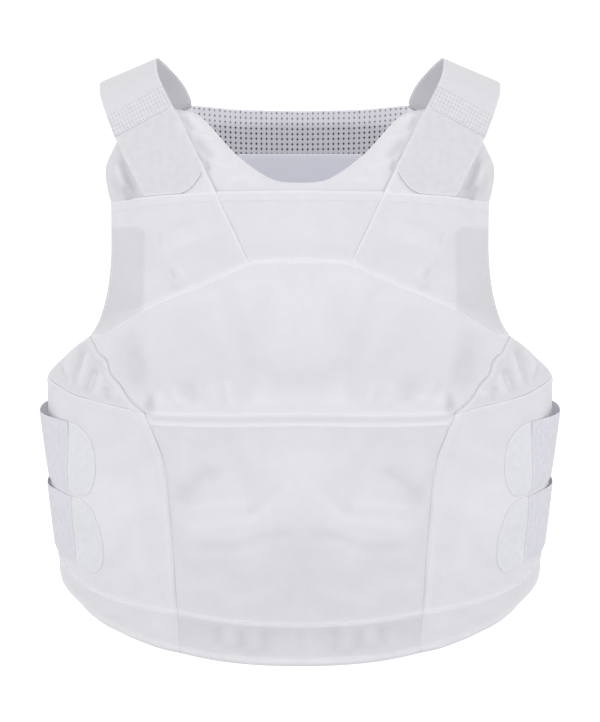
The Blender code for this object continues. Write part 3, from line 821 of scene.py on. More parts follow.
class Weave(Enum):
    """How the surface of a finish is made."""

    PLAIN = "plain"
    TWILL = "twill"
    RIB = "rib"
    BRUSHED = "brushed"
    NET = "net"
    SATIN = "satin"
    THREAD = "thread"


class Desk:
    """Adds and links the nodes of one material."""

    def __init__(self, name: str) -> None:
        """Starts a material with the given name."""
        self.material = bpy.data.materials.new(name)
        self.material.use_nodes = True
        self.tree = self.material.node_tree
        self.shader = self.tree.nodes["Principled BSDF"]

    def node(self, kind: str, settings: dict[str, object] | None = None, **inputs: object) -> bpy.types.Node:
        """Adds a node.

        Args:
            kind: The node's type.
            settings: Its own properties.
            **inputs: A value or a socket for each named input.

        Returns:
            The node.
        """
        node = self.tree.nodes.new(kind)
        for key, value in (settings or {}).items():
            setattr(node, key, value)
        for key, value in inputs.items():
            self.feed(node.inputs[key.replace("_", " ")], value)
        return node

    def feed(self, socket: bpy.types.NodeSocket, value: object) -> None:
        """Links a socket to an input, or sets its value."""
        if isinstance(value, bpy.types.NodeSocket):
            self.tree.links.new(value, socket)
        else:
            socket.default_value = value

    def sum_up(self, operation: str, *values: object) -> bpy.types.NodeSocket:
        """The result of a maths operation on values or sockets."""
        node = self.node("ShaderNodeMath", {"operation": operation})
        for socket, value in zip(node.inputs, values):
            self.feed(socket, value)
        return node.outputs[0]

    def wave(self, place: bpy.types.NodeSocket, pitch: float) -> bpy.types.NodeSocket:
        """A wave from -1 to 1 with a pitch in metres."""
        return self.sum_up("SINE", self.sum_up("MULTIPLY", place, 2 * math.pi / pitch))

    def noise(self, place: bpy.types.NodeSocket, scale: float, detail: float = 2.0) -> bpy.types.NodeSocket:
        """Soft noise from 0 to 1, with features one over scale metres wide."""
        node = self.node("ShaderNodeTexNoise", Vector=place, Scale=scale, Detail=detail)
        return node.outputs["Fac"]

    def spread(self, value: bpy.types.NodeSocket, low: float, high: float, bottom: float,
               top: float) -> bpy.types.NodeSocket:
        """A value's range low to high turned smoothly into the range bottom to top."""
        node = self.node("ShaderNodeMapRange", {"interpolation_type": "SMOOTHSTEP"}, Value=value)
        for label, number in (("From Min", low), ("From Max", high), ("To Min", bottom), ("To Max", top)):
            node.inputs[label].default_value = number
        return node.outputs["Result"]

    def attribute(self, name: str) -> bpy.types.NodeSocket:
        """A named number of the mesh."""
        return self.node("ShaderNodeAttribute", {"attribute_name": name}).outputs["Fac"]


@dataclass(frozen=True)
class Finish:
    """A cloth's finish: its colour, weave, sheen, the small unevenness of its shade, and how strongly it
    takes the highlights and shade painted into its colour.
    """

    name: str
    slot: str
    colour: tuple[float, float, float]
    weave: Weave
    pitch: float
    depth: float
    roughness: float = 0.85
    sheen: float = 0.15
    mottle: float = 0.015
    mottle_size: float = 7 * MM
    edge_highlight_strength: float = 0.06
    edge_width: float = 2.5 * MM
    strength_of_painted_light_and_tint: float = 0.055
    painted_shade_strength: float = 0.07
    weave_painted_shade: float = 0.03
    sheen_roughness: float = 0.5
    specular: float = 0.25

    def weave_height(self, desk: Desk, u: bpy.types.NodeSocket, v: bpy.types.NodeSocket,
                     uv: bpy.types.NodeSocket) -> bpy.types.NodeSocket:
        """The weave's height from 0 to 1 over the cloth's own plane."""
        if self.weave in (Weave.PLAIN, Weave.NET, Weave.SATIN):
            threads = desk.sum_up("MULTIPLY", desk.wave(u, self.pitch), desk.wave(v, self.pitch))
            return desk.sum_up("MULTIPLY_ADD", threads, 0.5, 0.5)
        if self.weave in (Weave.TWILL, Weave.THREAD):
            return desk.sum_up("MULTIPLY_ADD", desk.wave(desk.sum_up("ADD", u, v), self.pitch), 0.5, 0.5)
        if self.weave is Weave.RIB:
            rib = desk.sum_up("ABSOLUTE", desk.wave(u, 2 * self.pitch))
            cross = desk.wave(v, CROSS_PITCH * self.pitch)
            cross = desk.sum_up("MULTIPLY_ADD", cross, CROSS_HEIGHT, CROSS_HEIGHT)
            return desk.sum_up("MULTIPLY_ADD", rib, RIB_HEIGHT, cross)
        return desk.noise(uv, 1 / self.pitch, NAP_DETAIL)

    def material(self) -> bpy.types.Material:
        """The finish as a material, which reads the mesh's flat cloth map and named numbers, and paints
        highlight and shade from them into its colour.
        """
        desk = Desk(self.name)
        uv = desk.node("ShaderNodeUVMap", {"uv_map": MAP_NAME}).outputs["UV"]
        parts = desk.node("ShaderNodeSeparateXYZ", Vector=uv)
        u, v = parts.outputs["X"], parts.outputs["Y"]
        height = self.weave_height(desk, u, v, uv)
        fuzz = desk.noise(uv, 1 / self.mottle_size, FUZZ_DETAIL)
        fine = desk.noise(uv, FINE_TIMES / self.mottle_size)
        shade = desk.spread(fuzz, *FUZZ_RANGE, 1 - self.mottle, 1.0)
        shade = desk.sum_up("MULTIPLY", shade, desk.spread(fine, *FINE_RANGE, 1 - self.mottle / 2, 1.0))
        # Painted shade in the hollows of the weave.
        shade = desk.sum_up("MULTIPLY", shade, desk.spread(height, 0.0, 1.0, 1 - self.weave_painted_shade, 1.0))
        # Painted highlight along the cloth's edges and seams, fading out over the edge width.
        edge_painted_highlight = desk.spread(desk.attribute("edge"), 0.0, self.edge_width, 1.0 + self.edge_highlight_strength, 1.0)
        shade = desk.sum_up("MULTIPLY", shade, edge_painted_highlight)
        # Painted highlight on ridges and painted shade in furrows, which on the label is its lighter tape;
        # then painted shade in the darker zones, the grooves and the lining's lower rows.
        for label, strength in (("painted_light_and_tint", self.strength_of_painted_light_and_tint), ("bare", -self.painted_shade_strength)):
            tint = desk.sum_up("MULTIPLY_ADD", desk.attribute(label), strength, 1.0)
            shade = desk.sum_up("MULTIPLY", shade, tint)
        scaled = desk.node("ShaderNodeVectorMath", {"operation": "SCALE"})
        scaled.inputs[0].default_value = self.colour
        desk.feed(scaled.inputs["Scale"], shade)
        colour = scaled.outputs[0]
        # Painted shade: the net's holes are painted nearly black.
        if self.weave is Weave.NET:
            mix = desk.node("ShaderNodeMix", {"data_type": "RGBA"})
            desk.feed(mix.inputs["Factor"], desk.spread(desk.attribute("hole"), 0.0, HOLE_FULL, 0.0, 1.0))
            desk.feed(mix.inputs["A"], colour)
            mix.inputs["B"].default_value = HOLE_PAINTED_SHADE_COLOUR
            colour = mix.outputs["Result"]
        bump = desk.node("ShaderNodeBump", Height=height, Distance=self.depth, Strength=1.0)
        shader = desk.shader
        desk.feed(shader.inputs["Base Color"], colour)
        desk.feed(shader.inputs["Normal"], bump.outputs["Normal"])
        shader.inputs["Roughness"].default_value = self.roughness
        shader.inputs["Sheen Weight"].default_value = self.sheen
        shader.inputs["Sheen Roughness"].default_value = self.sheen_roughness
        shader.inputs["Specular IOR Level"].default_value = self.specular
        return desk.material


WHITE_CLOTH = Finish("white_woven_cloth", "carrier_cloth", (0.720, 0.715, 0.750), Weave.PLAIN, 0.7 * MM,
                     0.06 * MM)
# The gussets wear the white cloth painted a little darker, which is painted shade under the arms.
DARKER_PAINTED_GUSSET_CLOTH = Finish("painted_darker_gusset_cloth", "gusset_cloth", (0.703, 0.698, 0.733), Weave.TWILL, 0.6 * MM,
                      0.05 * MM)
STRAP_CLOTH = Finish("strap_cloth", "strap_cloth", (0.695, 0.695, 0.725), Weave.TWILL, 0.7 * MM, 0.06 * MM)
ELASTIC = Finish("ribbed_elastic", "elastic_webbing", (0.74, 0.735, 0.77), Weave.RIB, 1.5 * MM, 0.25 * MM,
                 mottle=0.05, mottle_size=5 * MM, edge_highlight_strength=0.0, painted_shade_strength=0.22)
# The side straps wear the same elastic painted lighter and bluer, which is painted light at the sides.
LIGHTER_PAINTED_SIDE_ELASTIC = replace(ELASTIC, name="painted_lighter_side_elastic", colour=(0.74, 0.735, 0.80))
TAB_CLOTH = Finish("brushed_tab_cloth", "tab_cloth", (0.675, 0.675, 0.705), Weave.BRUSHED, 0.8 * MM,
                   0.12 * MM, mottle=0.05, mottle_size=5 * MM, sheen=0.3)
# The side tabs wear the shoulder tabs' brushed cloth painted lighter, which is painted light on the side
# tabs.
LIGHTER_PAINTED_SIDE_TAB_CLOTH = replace(TAB_CLOTH, name="painted_lighter_side_tab_cloth", colour=(0.730, 0.735, 0.770),
                         edge_highlight_strength=0.02)
MESH_LINING = Finish("spacer_mesh", "mesh_lining", (0.865, 0.853, 0.915), Weave.NET, 0.8 * MM, 0.08 * MM,
                     painted_shade_strength=0.22)
LABEL_SATIN = Finish("label_satin", "label_satin", (0.77, 0.78, 0.86), Weave.SATIN, 0.4 * MM, 0.02 * MM,
                     roughness=0.5, sheen=0.1, strength_of_painted_light_and_tint=0.07)
THREAD = Finish("sewing_thread", "carrier_cloth", (0.73, 0.725, 0.76), Weave.THREAD, 0.5 * MM, 0.04 * MM,
                roughness=0.6)


class Wardrobe:
    """Makes each finish once and dresses pieces in it."""

    def __init__(self) -> None:
        """Starts with no finish made."""
        self.made: dict[str, bpy.types.Material] = {}

    def dress(self, thing: bpy.types.Object, finish: Finish, *nodes: str) -> None:
        """Gives a piece its finish and its place in the frame.

        Args:
            thing: The piece.
            finish: Its finish.
            *nodes: The nodes that it stands for.
        """
        if finish.name not in self.made:
            self.made[finish.name] = finish.material()
        thing.data.materials.append(self.made[finish.name])
        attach(thing, ROOT)
        if nodes:
            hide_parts(*nodes)
        LOG.info("%s: %d points, %d faces", thing.name, len(thing.data.vertices), len(thing.data.polygons))


WARDROBE = Wardrobe()


# Stitches.

@dataclass(frozen=True)
class Seam:
    """A row of stitches beside a line, the same on both sides of the body.

    It runs at a margin to the left of the line and stops at the trim's distance from both ends. The lift is
    that of the cloth's side that the row lies on.
    """

    line: Line
    margin: float
    lift: Lift
    trim: float = 0.0
    from_back: bool = False
    inner: bool = False

    def lines(self) -> tuple[Array, Array]:
        """The row's dense line on each side of the body."""
        dense = smooth_line(beside(self.line, self.margin) if self.margin else self.line, MM)
        reach = running_sum(step_lengths(dense))
        dense = dense[(reach >= self.trim) & (reach <= reach[-1] - self.trim)]
        return dense, dense * (-1.0, 1.0)

    def spot(self, flat: Array, rise: float) -> Array:
        """Flat places wrapped round the form, a rise over the cloth."""
        return FORM.place(flat, self.lift(flat) + rise, self.from_back)


@dataclass(frozen=True)
class Stitches:
    """Rows of lockstitch: one small bead of thread, copied along each line."""

    pitch: float = 3.1 * MM
    length: float = 2.3 * MM
    thread: float = 0.5 * MM
    sunk: float = 0.16 * MM
    waist: float = 0.22
    grip: float = 0.4
    end_width: float = 0.45
    end_drop: float = 0.35

    def bead(self) -> tuple[Array, Array]:
        """Models one stitch along X from a six-sided rod with drawn-in ends.

        Returns:
            Its points and its faces, as rows of four corners or three.
        """
        bpy.ops.object.select_all(action="DESELECT")
        bpy.ops.mesh.primitive_cylinder_add(vertices=6, radius=self.thread / 2, depth=self.length,
                                            end_fill_type="TRIFAN", rotation=(0.0, math.pi / 2, 0.0))
        rod = bpy.context.object
        bpy.ops.object.transform_apply(location=True, rotation=True, scale=True)
        bpy.ops.object.mode_set(mode="EDIT")
        for cut in (self.waist, -self.waist):
            bpy.ops.mesh.select_all(action="SELECT")
            bpy.ops.mesh.bisect(plane_co=(self.length * cut, 0, 0), plane_no=(1, 0, 0))
        bpy.ops.object.mode_set(mode="OBJECT")
        verts = np.array([vert.co for vert in rod.data.vertices])
        ends = np.abs(verts[:, 0]) > self.length * self.grip
        verts[ends, 1:] *= self.end_width
        verts[ends, 2] -= self.end_drop * self.thread
        faces = np.array([[*face.vertices, face.vertices[-1]][:4] for face in rod.data.polygons])
        bpy.data.objects.remove(rod)
        return verts, faces

    def places(self, line: Array) -> tuple[Array, Array, Array]:
        """Where each stitch of a dense line has its middle and its two ends on the flat cloth."""
        reach = running_sum(step_lengths(line))
        count = max(2, int(reach[-1] / self.pitch))
        at = (np.arange(count) + 0.5) * reach[-1] / count
        half = self.grip * self.length
        middle, ahead, behind = (np.column_stack([np.interp(at + shift, reach, line[:, k]) for k in (0, 1)])
                                 for shift in (0.0, half, -half))
        return middle, ahead, behind

    def sew(self, name: str, seams: Sequence[Seam]) -> None:
        """Lays stitches along seams, all as one piece.

        Args:
            name: The piece's name.
            seams: The rows of stitches, each for both sides of the body.
        """
        verts, faces = self.bead()
        all_verts, all_faces, cloth = [], [], []
        for seam, line in ((seam, line) for seam in seams for line in seam.lines()):
            middle, ahead, behind = self.places(line)
            rise = (self.thread / 2 - self.sunk) * (-1.0 if seam.inner else 1.0)
            centre = seam.spot(middle, rise)
            up = seam.spot(middle, rise + math.copysign(MM, rise)) - centre
            along = unit(seam.spot(ahead, rise) - seam.spot(behind, rise))
            up = unit(up - (up * along).sum(axis=1, keepdims=True) * along)
            axes = (along, np.cross(up, along), up)
            turned = sum(verts[None, :, k, None] * axes[k][:, None] for k in range(3))
            start = sum(len(part) for part in all_verts)
            all_verts.append((centre[:, None] + turned).reshape(-1, 3))
            shifts = start + np.arange(len(middle)) * len(verts)
            all_faces.append((faces[None] + shifts[:, None, None]).reshape(-1, 4))
            cloth.append(np.repeat(middle, len(verts), axis=0))
        rings = [face[:3] if face[2] == face[3] else face for face in np.vstack(all_faces).tolist()]
        WARDROBE.dress(mesh_object(name, np.vstack(all_verts), rings, np.vstack(cloth), {}), THREAD)


STITCHES = Stitches()


# The front.

@dataclass(frozen=True)
class PaintedShadeZone:
    """A part of the front painted darker: painted shade over its folds, dents, channels and parts that face
    down or away from the light. At the side zone and the hem it also stands for thin cloth with no panel
    behind it.
    """

    outline: Line
    share: float
    soft: float

    def at(self, flat: Array) -> Array:
        """The part's share at each point, fading over the soft width at its edge."""
        corners = (*self.outline, self.outline[0])
        dense = np.vstack([smooth_line(edge)[:-1] for edge in zip(corners, corners[1:])])
        gap = nearest(flat, dense, loop=True).gap
        inside = np.where(contains(dense, flat), gap, -gap)
        return self.share * faded(inside, -self.soft, self.soft)


# Painted shade: the waist channel, the armhole and landing folds, the pocket under the arch, the flap that
# faces down, the dimple and the top-lit yoke are painted darker. At the yoke's side zone and the hem bands
# this also stands for thin cloth with no panel behind it.
WAIST_PAINTED_SHADE = PaintedShadeZone(
    ((-0.02, -0.2494), (0.105, -0.2507), (0.1045, -0.2538), (-0.02, -0.2526)), 0.5, 0.7 * MM)
YOKE_SIDE_PAINTED_SHADE = PaintedShadeZone(
    ((0.111, -0.1205), (0.118, -0.1175), (0.129, -0.1185), (0.150, -0.1165), (0.150, -0.150),
     (0.170, -0.194), (0.142, -0.1945), (0.111, -0.176)), 1.3, 1.3 * MM)
ARMHOLE_PAINTED_SHADE = PaintedShadeZone(
    ((0.138, -0.050), (0.152, -0.070), (0.152, -0.105), (0.114, -0.0985), (0.124, -0.080)), 0.9, 4 * MM)
LANDING_PAINTED_SHADE = PaintedShadeZone(
    ((0.129, -0.080), (0.131, -0.090), (0.125, -0.0995), (0.115, -0.0975), (0.122, -0.086)),
    1.1, 3 * MM)
POCKET_SIDE_PAINTED_SHADE = PaintedShadeZone(
    ((0.131, -0.197), (0.112, -0.190), (0.107, -0.215), (0.113, -0.240), (0.126, -0.228), (0.136, -0.210)),
    0.5, 7 * MM)
FLAP_PAINTED_SHADE = PaintedShadeZone(
    ((-0.02, -0.258), (0.105, -0.258), (0.093, -0.31), (0.087, -0.41), (-0.02, -0.41)), 0.4, 6 * MM)
FLAP_LOW_PAINTED_SHADE = PaintedShadeZone(
    ((-0.02, -0.344), (0.070, -0.346), (0.078, -0.365), (0.070, -0.400), (-0.02, -0.410)), 0.2, 9 * MM)
HEM_PAINTED_SHADE = PaintedShadeZone(
    ((-0.02, -0.4045), (0.0545, -0.401), (0.087, -0.3972), (0.0855, -0.419), (0.0565, -0.4238),
     (-0.02, -0.4266)), 1.15, 1.4 * MM)
HEM_SIDE_PAINTED_SHADE = PaintedShadeZone(
    ((0.0885, -0.397), (0.122, -0.3932), (0.1645, -0.3847), (0.225, -0.3665), (0.225, -0.376),
     (0.181, -0.3905), (0.147, -0.4035), (0.106, -0.4155), (0.087, -0.419)), 0.3, 1.4 * MM)
DIMPLE_PAINTED_SHADE = PaintedShadeZone(
    ((0.1066, -0.2372), (0.1036, -0.2405), (0.103, -0.2445), (0.1042, -0.2482), (0.1068, -0.2503),
     (0.1097, -0.2482), (0.1108, -0.2442), (0.1095, -0.2398)), 1.7, 2.6 * MM)
YOKE_PAINTED_SHADE = PaintedShadeZone(
    ((-0.02, -0.095), (0.060, -0.096), (0.107, -0.099), (0.1385, -0.103), (0.1385, -0.150), (0.150, -0.185),
     (0.1065, -0.170), (0.060, -0.150), (0.036, -0.139), (-0.02, -0.1375)), 0.35, 1.5 * MM)
PAINTED_SHADE_ZONES = (WAIST_PAINTED_SHADE, YOKE_SIDE_PAINTED_SHADE, ARMHOLE_PAINTED_SHADE, LANDING_PAINTED_SHADE, POCKET_SIDE_PAINTED_SHADE,
            FLAP_PAINTED_SHADE, FLAP_LOW_PAINTED_SHADE, HEM_PAINTED_SHADE, HEM_SIDE_PAINTED_SHADE, DIMPLE_PAINTED_SHADE, YOKE_PAINTED_SHADE)


def painted_shade_share(flat: Array) -> Array:
    """How much painted shade darkens the front's cloth at each point, from 0 upwards."""
    return sum((zone.at(one_side(flat)) for zone in PAINTED_SHADE_ZONES), np.zeros(len(flat)))


PAD = Wall(9.0 * MM, 4.5 * MM)
COVER_CLOTH = Wall(1.5 * MM, 1.4 * MM, 0.93)
WING_CLOTH = Wall(1.6 * MM, 1.6 * MM, 0.82)
COVER_RINGS = (2.2 * MM, 3.4 * MM)
PANEL_RELIEF: tuple[Relief, ...] = (
    Fold(((0.0865, -0.0357), (0.0783, -0.0421), (0.0679, -0.0519)), 0.9 * MM, 2.2 * MM),
    Fold(((0.0857, -0.0393), (0.0818, -0.0459), (0.0776, -0.0511)), -1.2 * MM, 1.7 * MM),
    Fold(((0.0744, -0.0533), (0.0671, -0.0555), (0.0609, -0.0572)), 1.1 * MM, 1.5 * MM),
    Fold(((0.0785, -0.0532), (0.0727, -0.0607), (0.0668, -0.066), (0.0595, -0.0705)), -1.9 * MM, 2.6 * MM,
         taper=0.4),
    Fold(((0.0671, -0.0705), (0.0609, -0.0733), (0.0546, -0.0752), (0.0458, -0.0769)), 1.2 * MM, 1.3 * MM,
         taper=0.4),
    Fold(((0.0689, -0.070), (0.0666, -0.076), (0.0651, -0.080)), -1.1 * MM, 1.5 * MM),
    Fold(((0.0542, -0.0851), (0.0457, -0.0844), (0.0364, -0.0844)), 0.8 * MM, 1.8 * MM),
    Fold(((0.132, -0.065), (0.1262, -0.078), (0.1215, -0.088), (0.118, -0.099)), -2.6 * MM, 2.8 * MM),
    Fold(((0.135, -0.072), (0.130, -0.0837), (0.125, -0.0955)), 1.3 * MM, 2.2 * MM, taper=0.35),
    Fold(((0.129, -0.089), (0.125, -0.0945), (0.1225, -0.100)), -2.0 * MM, 2.4 * MM, taper=0.2),
    Fold(((0.1385, -0.079), (0.134, -0.090), (0.130, -0.099)), -1.0 * MM, 2.4 * MM, taper=0.35),
    Band(FRONT_NECK, 0.25 * MM, 3.2 * MM),
)
STRAP_PATCH: Line = ((0.095, -0.030), (0.140, -0.053), (0.113, -0.100), (0.060, -0.096), (0.065, -0.076))
FRONT_FULLNESS = Settled(
    FRONT_OUTLINE,
    (YOKE_TOP_CENTRE, YOKE_TOP_SIDE, DIAGONAL_UPPER, DIAGONAL_LOWER, ARCH_CENTRE, ARCH_SIDE, GUSSET_SEAM,
     WING_TOP_FRONT, WAIST_TOP, WAIST_LOW, WING_SEAM, WING_SEAM_HEM, HEM_STITCH_SIDE, HEM_STITCH_CENTRE),
    (STRAP_PATCH,),
    seed=81, rise=1.5 * MM,
)


def panel_top(flat: Array) -> Array:
    """Lift of the front panel's outer side over the form, in the flat measure."""
    edge = nearest(flat, FRONT_OUTLINE, loop=True).gap
    return PAD.upper(edge) + relief_lift(PANEL_RELIEF, flat) + FRONT_FULLNESS.lift(flat)


@dataclass(frozen=True)
class Cover:
    """A cloth sewn on the front panel, which stops a little (hem_back) before the panel's edge."""

    name: str
    outline: Array
    wall: Wall
    reliefs: tuple[Relief, ...]
    spacing: float = 2.0 * MM
    hem_back: float = 1.4 * MM

    def cut(self) -> Array:
        """The outline with its half of the seam gap taken off, drawn back from the panel's edge."""
        line = inset(self.outline, SEAM_HALF_GAP)
        gap = nearest(line, FRONT_OUTLINE, loop=True).gap
        within = np.where(contains(FRONT_OUTLINE, line), gap, -gap)
        short = np.clip(self.hem_back - within, 0.0, None)
        return line + inward_normals(line) * short[:, None]

    def base(self, flat: Array) -> Array:
        """Lift of the cloth's inner side over the form."""
        return panel_top(flat) + LAYER_GAP + relief_lift(self.reliefs, flat)

    def top(self, flat: Array) -> Array:
        """Lift of the cloth's outer side, away from its edge."""
        return self.base(flat) + self.wall.thickness

    def make(self, finish: Finish, mirrored: bool = False, name: str = "") -> None:
        """Args:
            finish: Its finish.
            mirrored: It is made on the other side of the body.
            name: Its name, where it isn't the cover's own.
        """
        name = name or self.name
        flat = fill(self.cut(), self.spacing, (*self.wall.rings(), *COVER_RINGS))
        # Named numbers that paint highlight on ridges, and shade in furrows and in the darker zones.
        values = {"painted_light_and_tint": painted_light_and_tint(self.reliefs, flat.points, FRONT_FULLNESS.lift(flat.points)),
                  "bare": painted_shade_share(flat.points)}
        base = self.base(flat.points)
        thing = shell(name + "_cloth", flat, self.wall, base, mirrored=mirrored, values=values)
        WARDROBE.dress(thing, finish, name)
        declare_sheet(self.outline)

    def pair(self, finish: Finish) -> None:
        """Builds the cover on both sides of the body."""
        for side, mirrored in SIDES:
            self.make(finish, mirrored, f"{self.name}_{side}")


def declare_sheet(outline: Array) -> None:
    """Works out a cloth's flat cut as the size of its outline's box and its own area, and keeps neither."""
    width, length = np.maximum(np.ptp(outline, axis=0), SMALLEST_CUT)
    area = min(abs(signed_area(outline)), width * length)


@dataclass
class FrontPanel:
    """The padded front panel, from the shoulders to the hem."""

    wall: Wall = PAD
    hidden_spacing: float = 3.2 * MM
    bare_spacing: float = 1.5 * MM
    covers_top: float = -104 * MM

    def build(self) -> None:
        """Builds the panel with a plain inner side, and finer above the covers, where it shows."""
        bare = even_grid(FRONT_OUTLINE, self.bare_spacing)
        hidden = even_grid(FRONT_OUTLINE, self.hidden_spacing)
        points = np.vstack([bare[bare[:, 1] > self.covers_top], hidden[hidden[:, 1] < self.covers_top]])
        flat = fill(FRONT_OUTLINE, self.bare_spacing, self.wall.rings(), points)
        fullness = FRONT_FULLNESS.lift(flat.points)
        relief = relief_lift(PANEL_RELIEF, flat.points) + fullness
        # Named numbers that paint highlight on ridges, and shade in furrows and in the darker zones.
        values = {"painted_light_and_tint": painted_light_and_tint(PANEL_RELIEF, flat.points, fullness), "bare": painted_shade_share(flat.points)}
        under = np.zeros(len(flat.points))
        thing = shell("front_panel_pad", flat, self.wall, relief, under, values=values)
        WARDROBE.dress(thing, WHITE_CLOTH, "front_panel")


ARCH_RIDGE = Fold(ARCH_CENTRE + ARCH_SIDE[1:], 0.6 * MM, 3.2 * MM, taper=0.0)
GUSSET_FURROW = Fold(GUSSET_SEAM, -1.0 * MM, 0.9 * MM, taper=0.0)
DIAGONAL_RIDGE = Fold(beside(DIAGONAL_UPPER + DIAGONAL_LOWER[1:], 1.9 * MM), 1.3 * MM, 1.6 * MM, taper=0.07)
WING_FURROW = Fold(WING_SEAM_TOP + WING_SEAM[1:] + WING_SEAM_HEM[1:], -0.8 * MM, 1.5 * MM, taper=0.0)
HEM_RIDGE = Fold(HEM_STITCH_SIDE + HEM_STITCH_CENTRE[1:], 0.6 * MM, 2.0 * MM, taper=0.0)
WAIST_RIDGES = (
    Fold(beside(WAIST_TOP, -0.5 * MM), 0.9 * MM, 1.6 * MM, taper=0.0),
    Fold(beside(WAIST_LOW, 1.3 * MM), 0.7 * MM, 1.4 * MM, taper=0.0),
)
YOKE_HEM = Band(YOKE_TOP_CENTRE + YOKE_TOP_SIDE[1:], 0.35 * MM, 7.6 * MM)
YOKE_CENTRE_FOLDS: tuple[Relief, ...] = (
    ARCH_RIDGE,
    Fold(DIAGONAL_LOWER, -0.2 * MM, 1.2 * MM, taper=0.0),
    YOKE_HEM,
    Undulation(11, 45 * MM, 0.15 * MM),
)
YOKE_SIDE_FOLDS: tuple[Relief, ...] = (
    ARCH_RIDGE,
    DIAGONAL_RIDGE,
    YOKE_HEM,
    Fold(((0.1052, -0.1096), (0.1013, -0.1248), (0.0917, -0.1404), (0.0807, -0.1608)), 0.35 * MM, 3.0 * MM),
    Fold(((0.0926, -0.1322), (0.0812, -0.1287), (0.0678, -0.1252)), 0.6 * MM, 2.2 * MM),
    Fold(((0.0979, -0.1219), (0.0868, -0.1161), (0.0623, -0.1112)), -0.5 * MM, 3.0 * MM),
    Fold(((0.1015, -0.121), (0.100, -0.1274), (0.0984, -0.1325)), -1.0 * MM, 1.8 * MM),
    Fold(((0.0918, -0.1462), (0.0877, -0.153)), -0.9 * MM, 1.8 * MM),
    Fold(((0.0881, -0.1451), (0.0795, -0.1532)), 0.6 * MM, 2.0 * MM),
    Fold(((0.0925, -0.1575), (0.0833, -0.161)), -0.8 * MM, 1.5 * MM),
    Undulation(12, 40 * MM, 0.2 * MM),
)


@dataclass
class Yoke:
    """The yoke across the upper chest, a centre piece between two thicker side pieces, and the landings."""

    cloth: Wall = Wall(1.5 * MM, 1.2 * MM, 0.93)
    side_cloth: Wall = Wall(1.6 * MM, 1.4 * MM, 0.88)
    landing_cloth: Wall = Wall(1.0 * MM, 1.0 * MM, 0.8)
    stitch_margin: float = 1.8 * MM
    hem_margin: float = 6.4 * MM
    armhole_margin: float = 4.2 * MM
    neck_margin: float = 3.0 * MM

    def build(self) -> None:
        """Builds the centre, the sides and the strap landings."""
        centre_cut = both_halves(joined(YOKE_TOP_CENTRE, DIAGONAL_LOWER, ARCH_CENTRE[::-1]))
        centre = Cover("yoke_centre", centre_cut, self.cloth, YOKE_CENTRE_FOLDS)
        centre.make(WHITE_CLOTH)
        side_cut = closed(joined(YOKE_TOP_SIDE, FRONT_ARMHOLE_SIDE, ARCH_SIDE[::-1], DIAGONAL_LOWER[::-1]))
        side = Cover("yoke", side_cut, self.side_cloth, YOKE_SIDE_FOLDS)
        side.pair(WHITE_CLOTH)
        landing_cut = closed(joined(DIAGONAL_UPPER[::-1], LANDING_OUTER, YOKE_TOP_SIDE[1::-1]))
        landing = Cover("strap_landing", landing_cut, self.landing_cloth, (DIAGONAL_RIDGE,))
        landing.pair(WHITE_CLOTH)
        tops = ((YOKE_TOP_CENTRE, centre, 2 * MM), (YOKE_TOP_SIDE, side, 2.5 * MM))
        seams = [Seam(line, -margin, cover.top, trim)
                 for margin in (self.stitch_margin, self.hem_margin) for line, cover, trim in tops]
        STITCHES.sew("yoke_stitches", seams + [
            Seam(ARCH_SIDE, self.stitch_margin, side.top, trim=2.5 * MM),
            Seam(ARCH_CENTRE, self.stitch_margin, centre.top),
            Seam(DIAGONAL_LOWER, self.stitch_margin, side.top, trim=2 * MM),
            Seam(DIAGONAL_UPPER, self.stitch_margin, landing.top, trim=3 * MM),
            Seam(FRONT_ARMHOLE_SIDE, -self.armhole_margin, side.top, trim=3 * MM),
            Seam(FRONT_NECK, -self.neck_margin, panel_top, trim=0.5 * MM),
        ])


POCKET_FOLDS: tuple[Relief, ...] = (
    Swell(2.5 * MM, 0.154, -0.1405, -0.248),
    ARCH_RIDGE,
    GUSSET_FURROW,
    WAIST_RIDGES[0],
    Fold(beside(WAIST_TOP, -8 * MM), 0.6 * MM, 8 * MM, taper=0.0),
    Fold(((0.1066, -0.233), (0.1069, -0.242), (0.1068, -0.2487)), -1.4 * MM, 3.8 * MM),
    Fold(((0.100, -0.230), (0.099, -0.245)), 0.8 * MM, 3.0 * MM),
    Fold(((0.0951, -0.2246), (0.0879, -0.2345), (0.0829, -0.2437)), 0.9 * MM, 3.2 * MM),
    Fold(((0.080, -0.2238), (0.0772, -0.2321), (0.0725, -0.2441)), -0.9 * MM, 3.6 * MM),
    Fold(((0.064, -0.2238), (0.0625, -0.2321), (0.060, -0.2441)), 0.6 * MM, 3.6 * MM),
    Fold(((0.0525, -0.2227), (0.0491, -0.2358), (0.047, -0.2451)), 0.9 * MM, 2.6 * MM),
    Fold(((0.030, -0.226), (0.029, -0.244)), 0.5 * MM, 4.0 * MM),
    Fold(((0.1212, -0.2003), (0.1174, -0.2178), (0.1213, -0.233)), -1.2 * MM, 7.0 * MM),
    Undulation(21, 60 * MM, 0.35 * MM),
)


@dataclass
class ChestPocket:
    """The arched pocket over the chest, down to the waist band."""

    cloth: Wall = COVER_CLOTH
    stitch_margin: float = 2.0 * MM
    waist_margin: float = 1.2 * MM

    def build(self) -> None:
        """Builds the pocket."""
        half = joined(ARCH_CENTRE, ARCH_SIDE, GUSSET_SEAM, WAIST_TOP)
        pocket = Cover("chest_pocket", both_halves(half), self.cloth, POCKET_FOLDS)
        pocket.make(WHITE_CLOTH)
        STITCHES.sew("pocket_stitches", [
            Seam(ARCH_CENTRE + ARCH_SIDE[1:], -self.stitch_margin, pocket.top, trim=2.5 * MM),
            Seam(WAIST_TOP, -self.waist_margin, pocket.top),
            Seam(GUSSET_SEAM, -self.stitch_margin, pocket.top, trim=3 * MM),
        ])


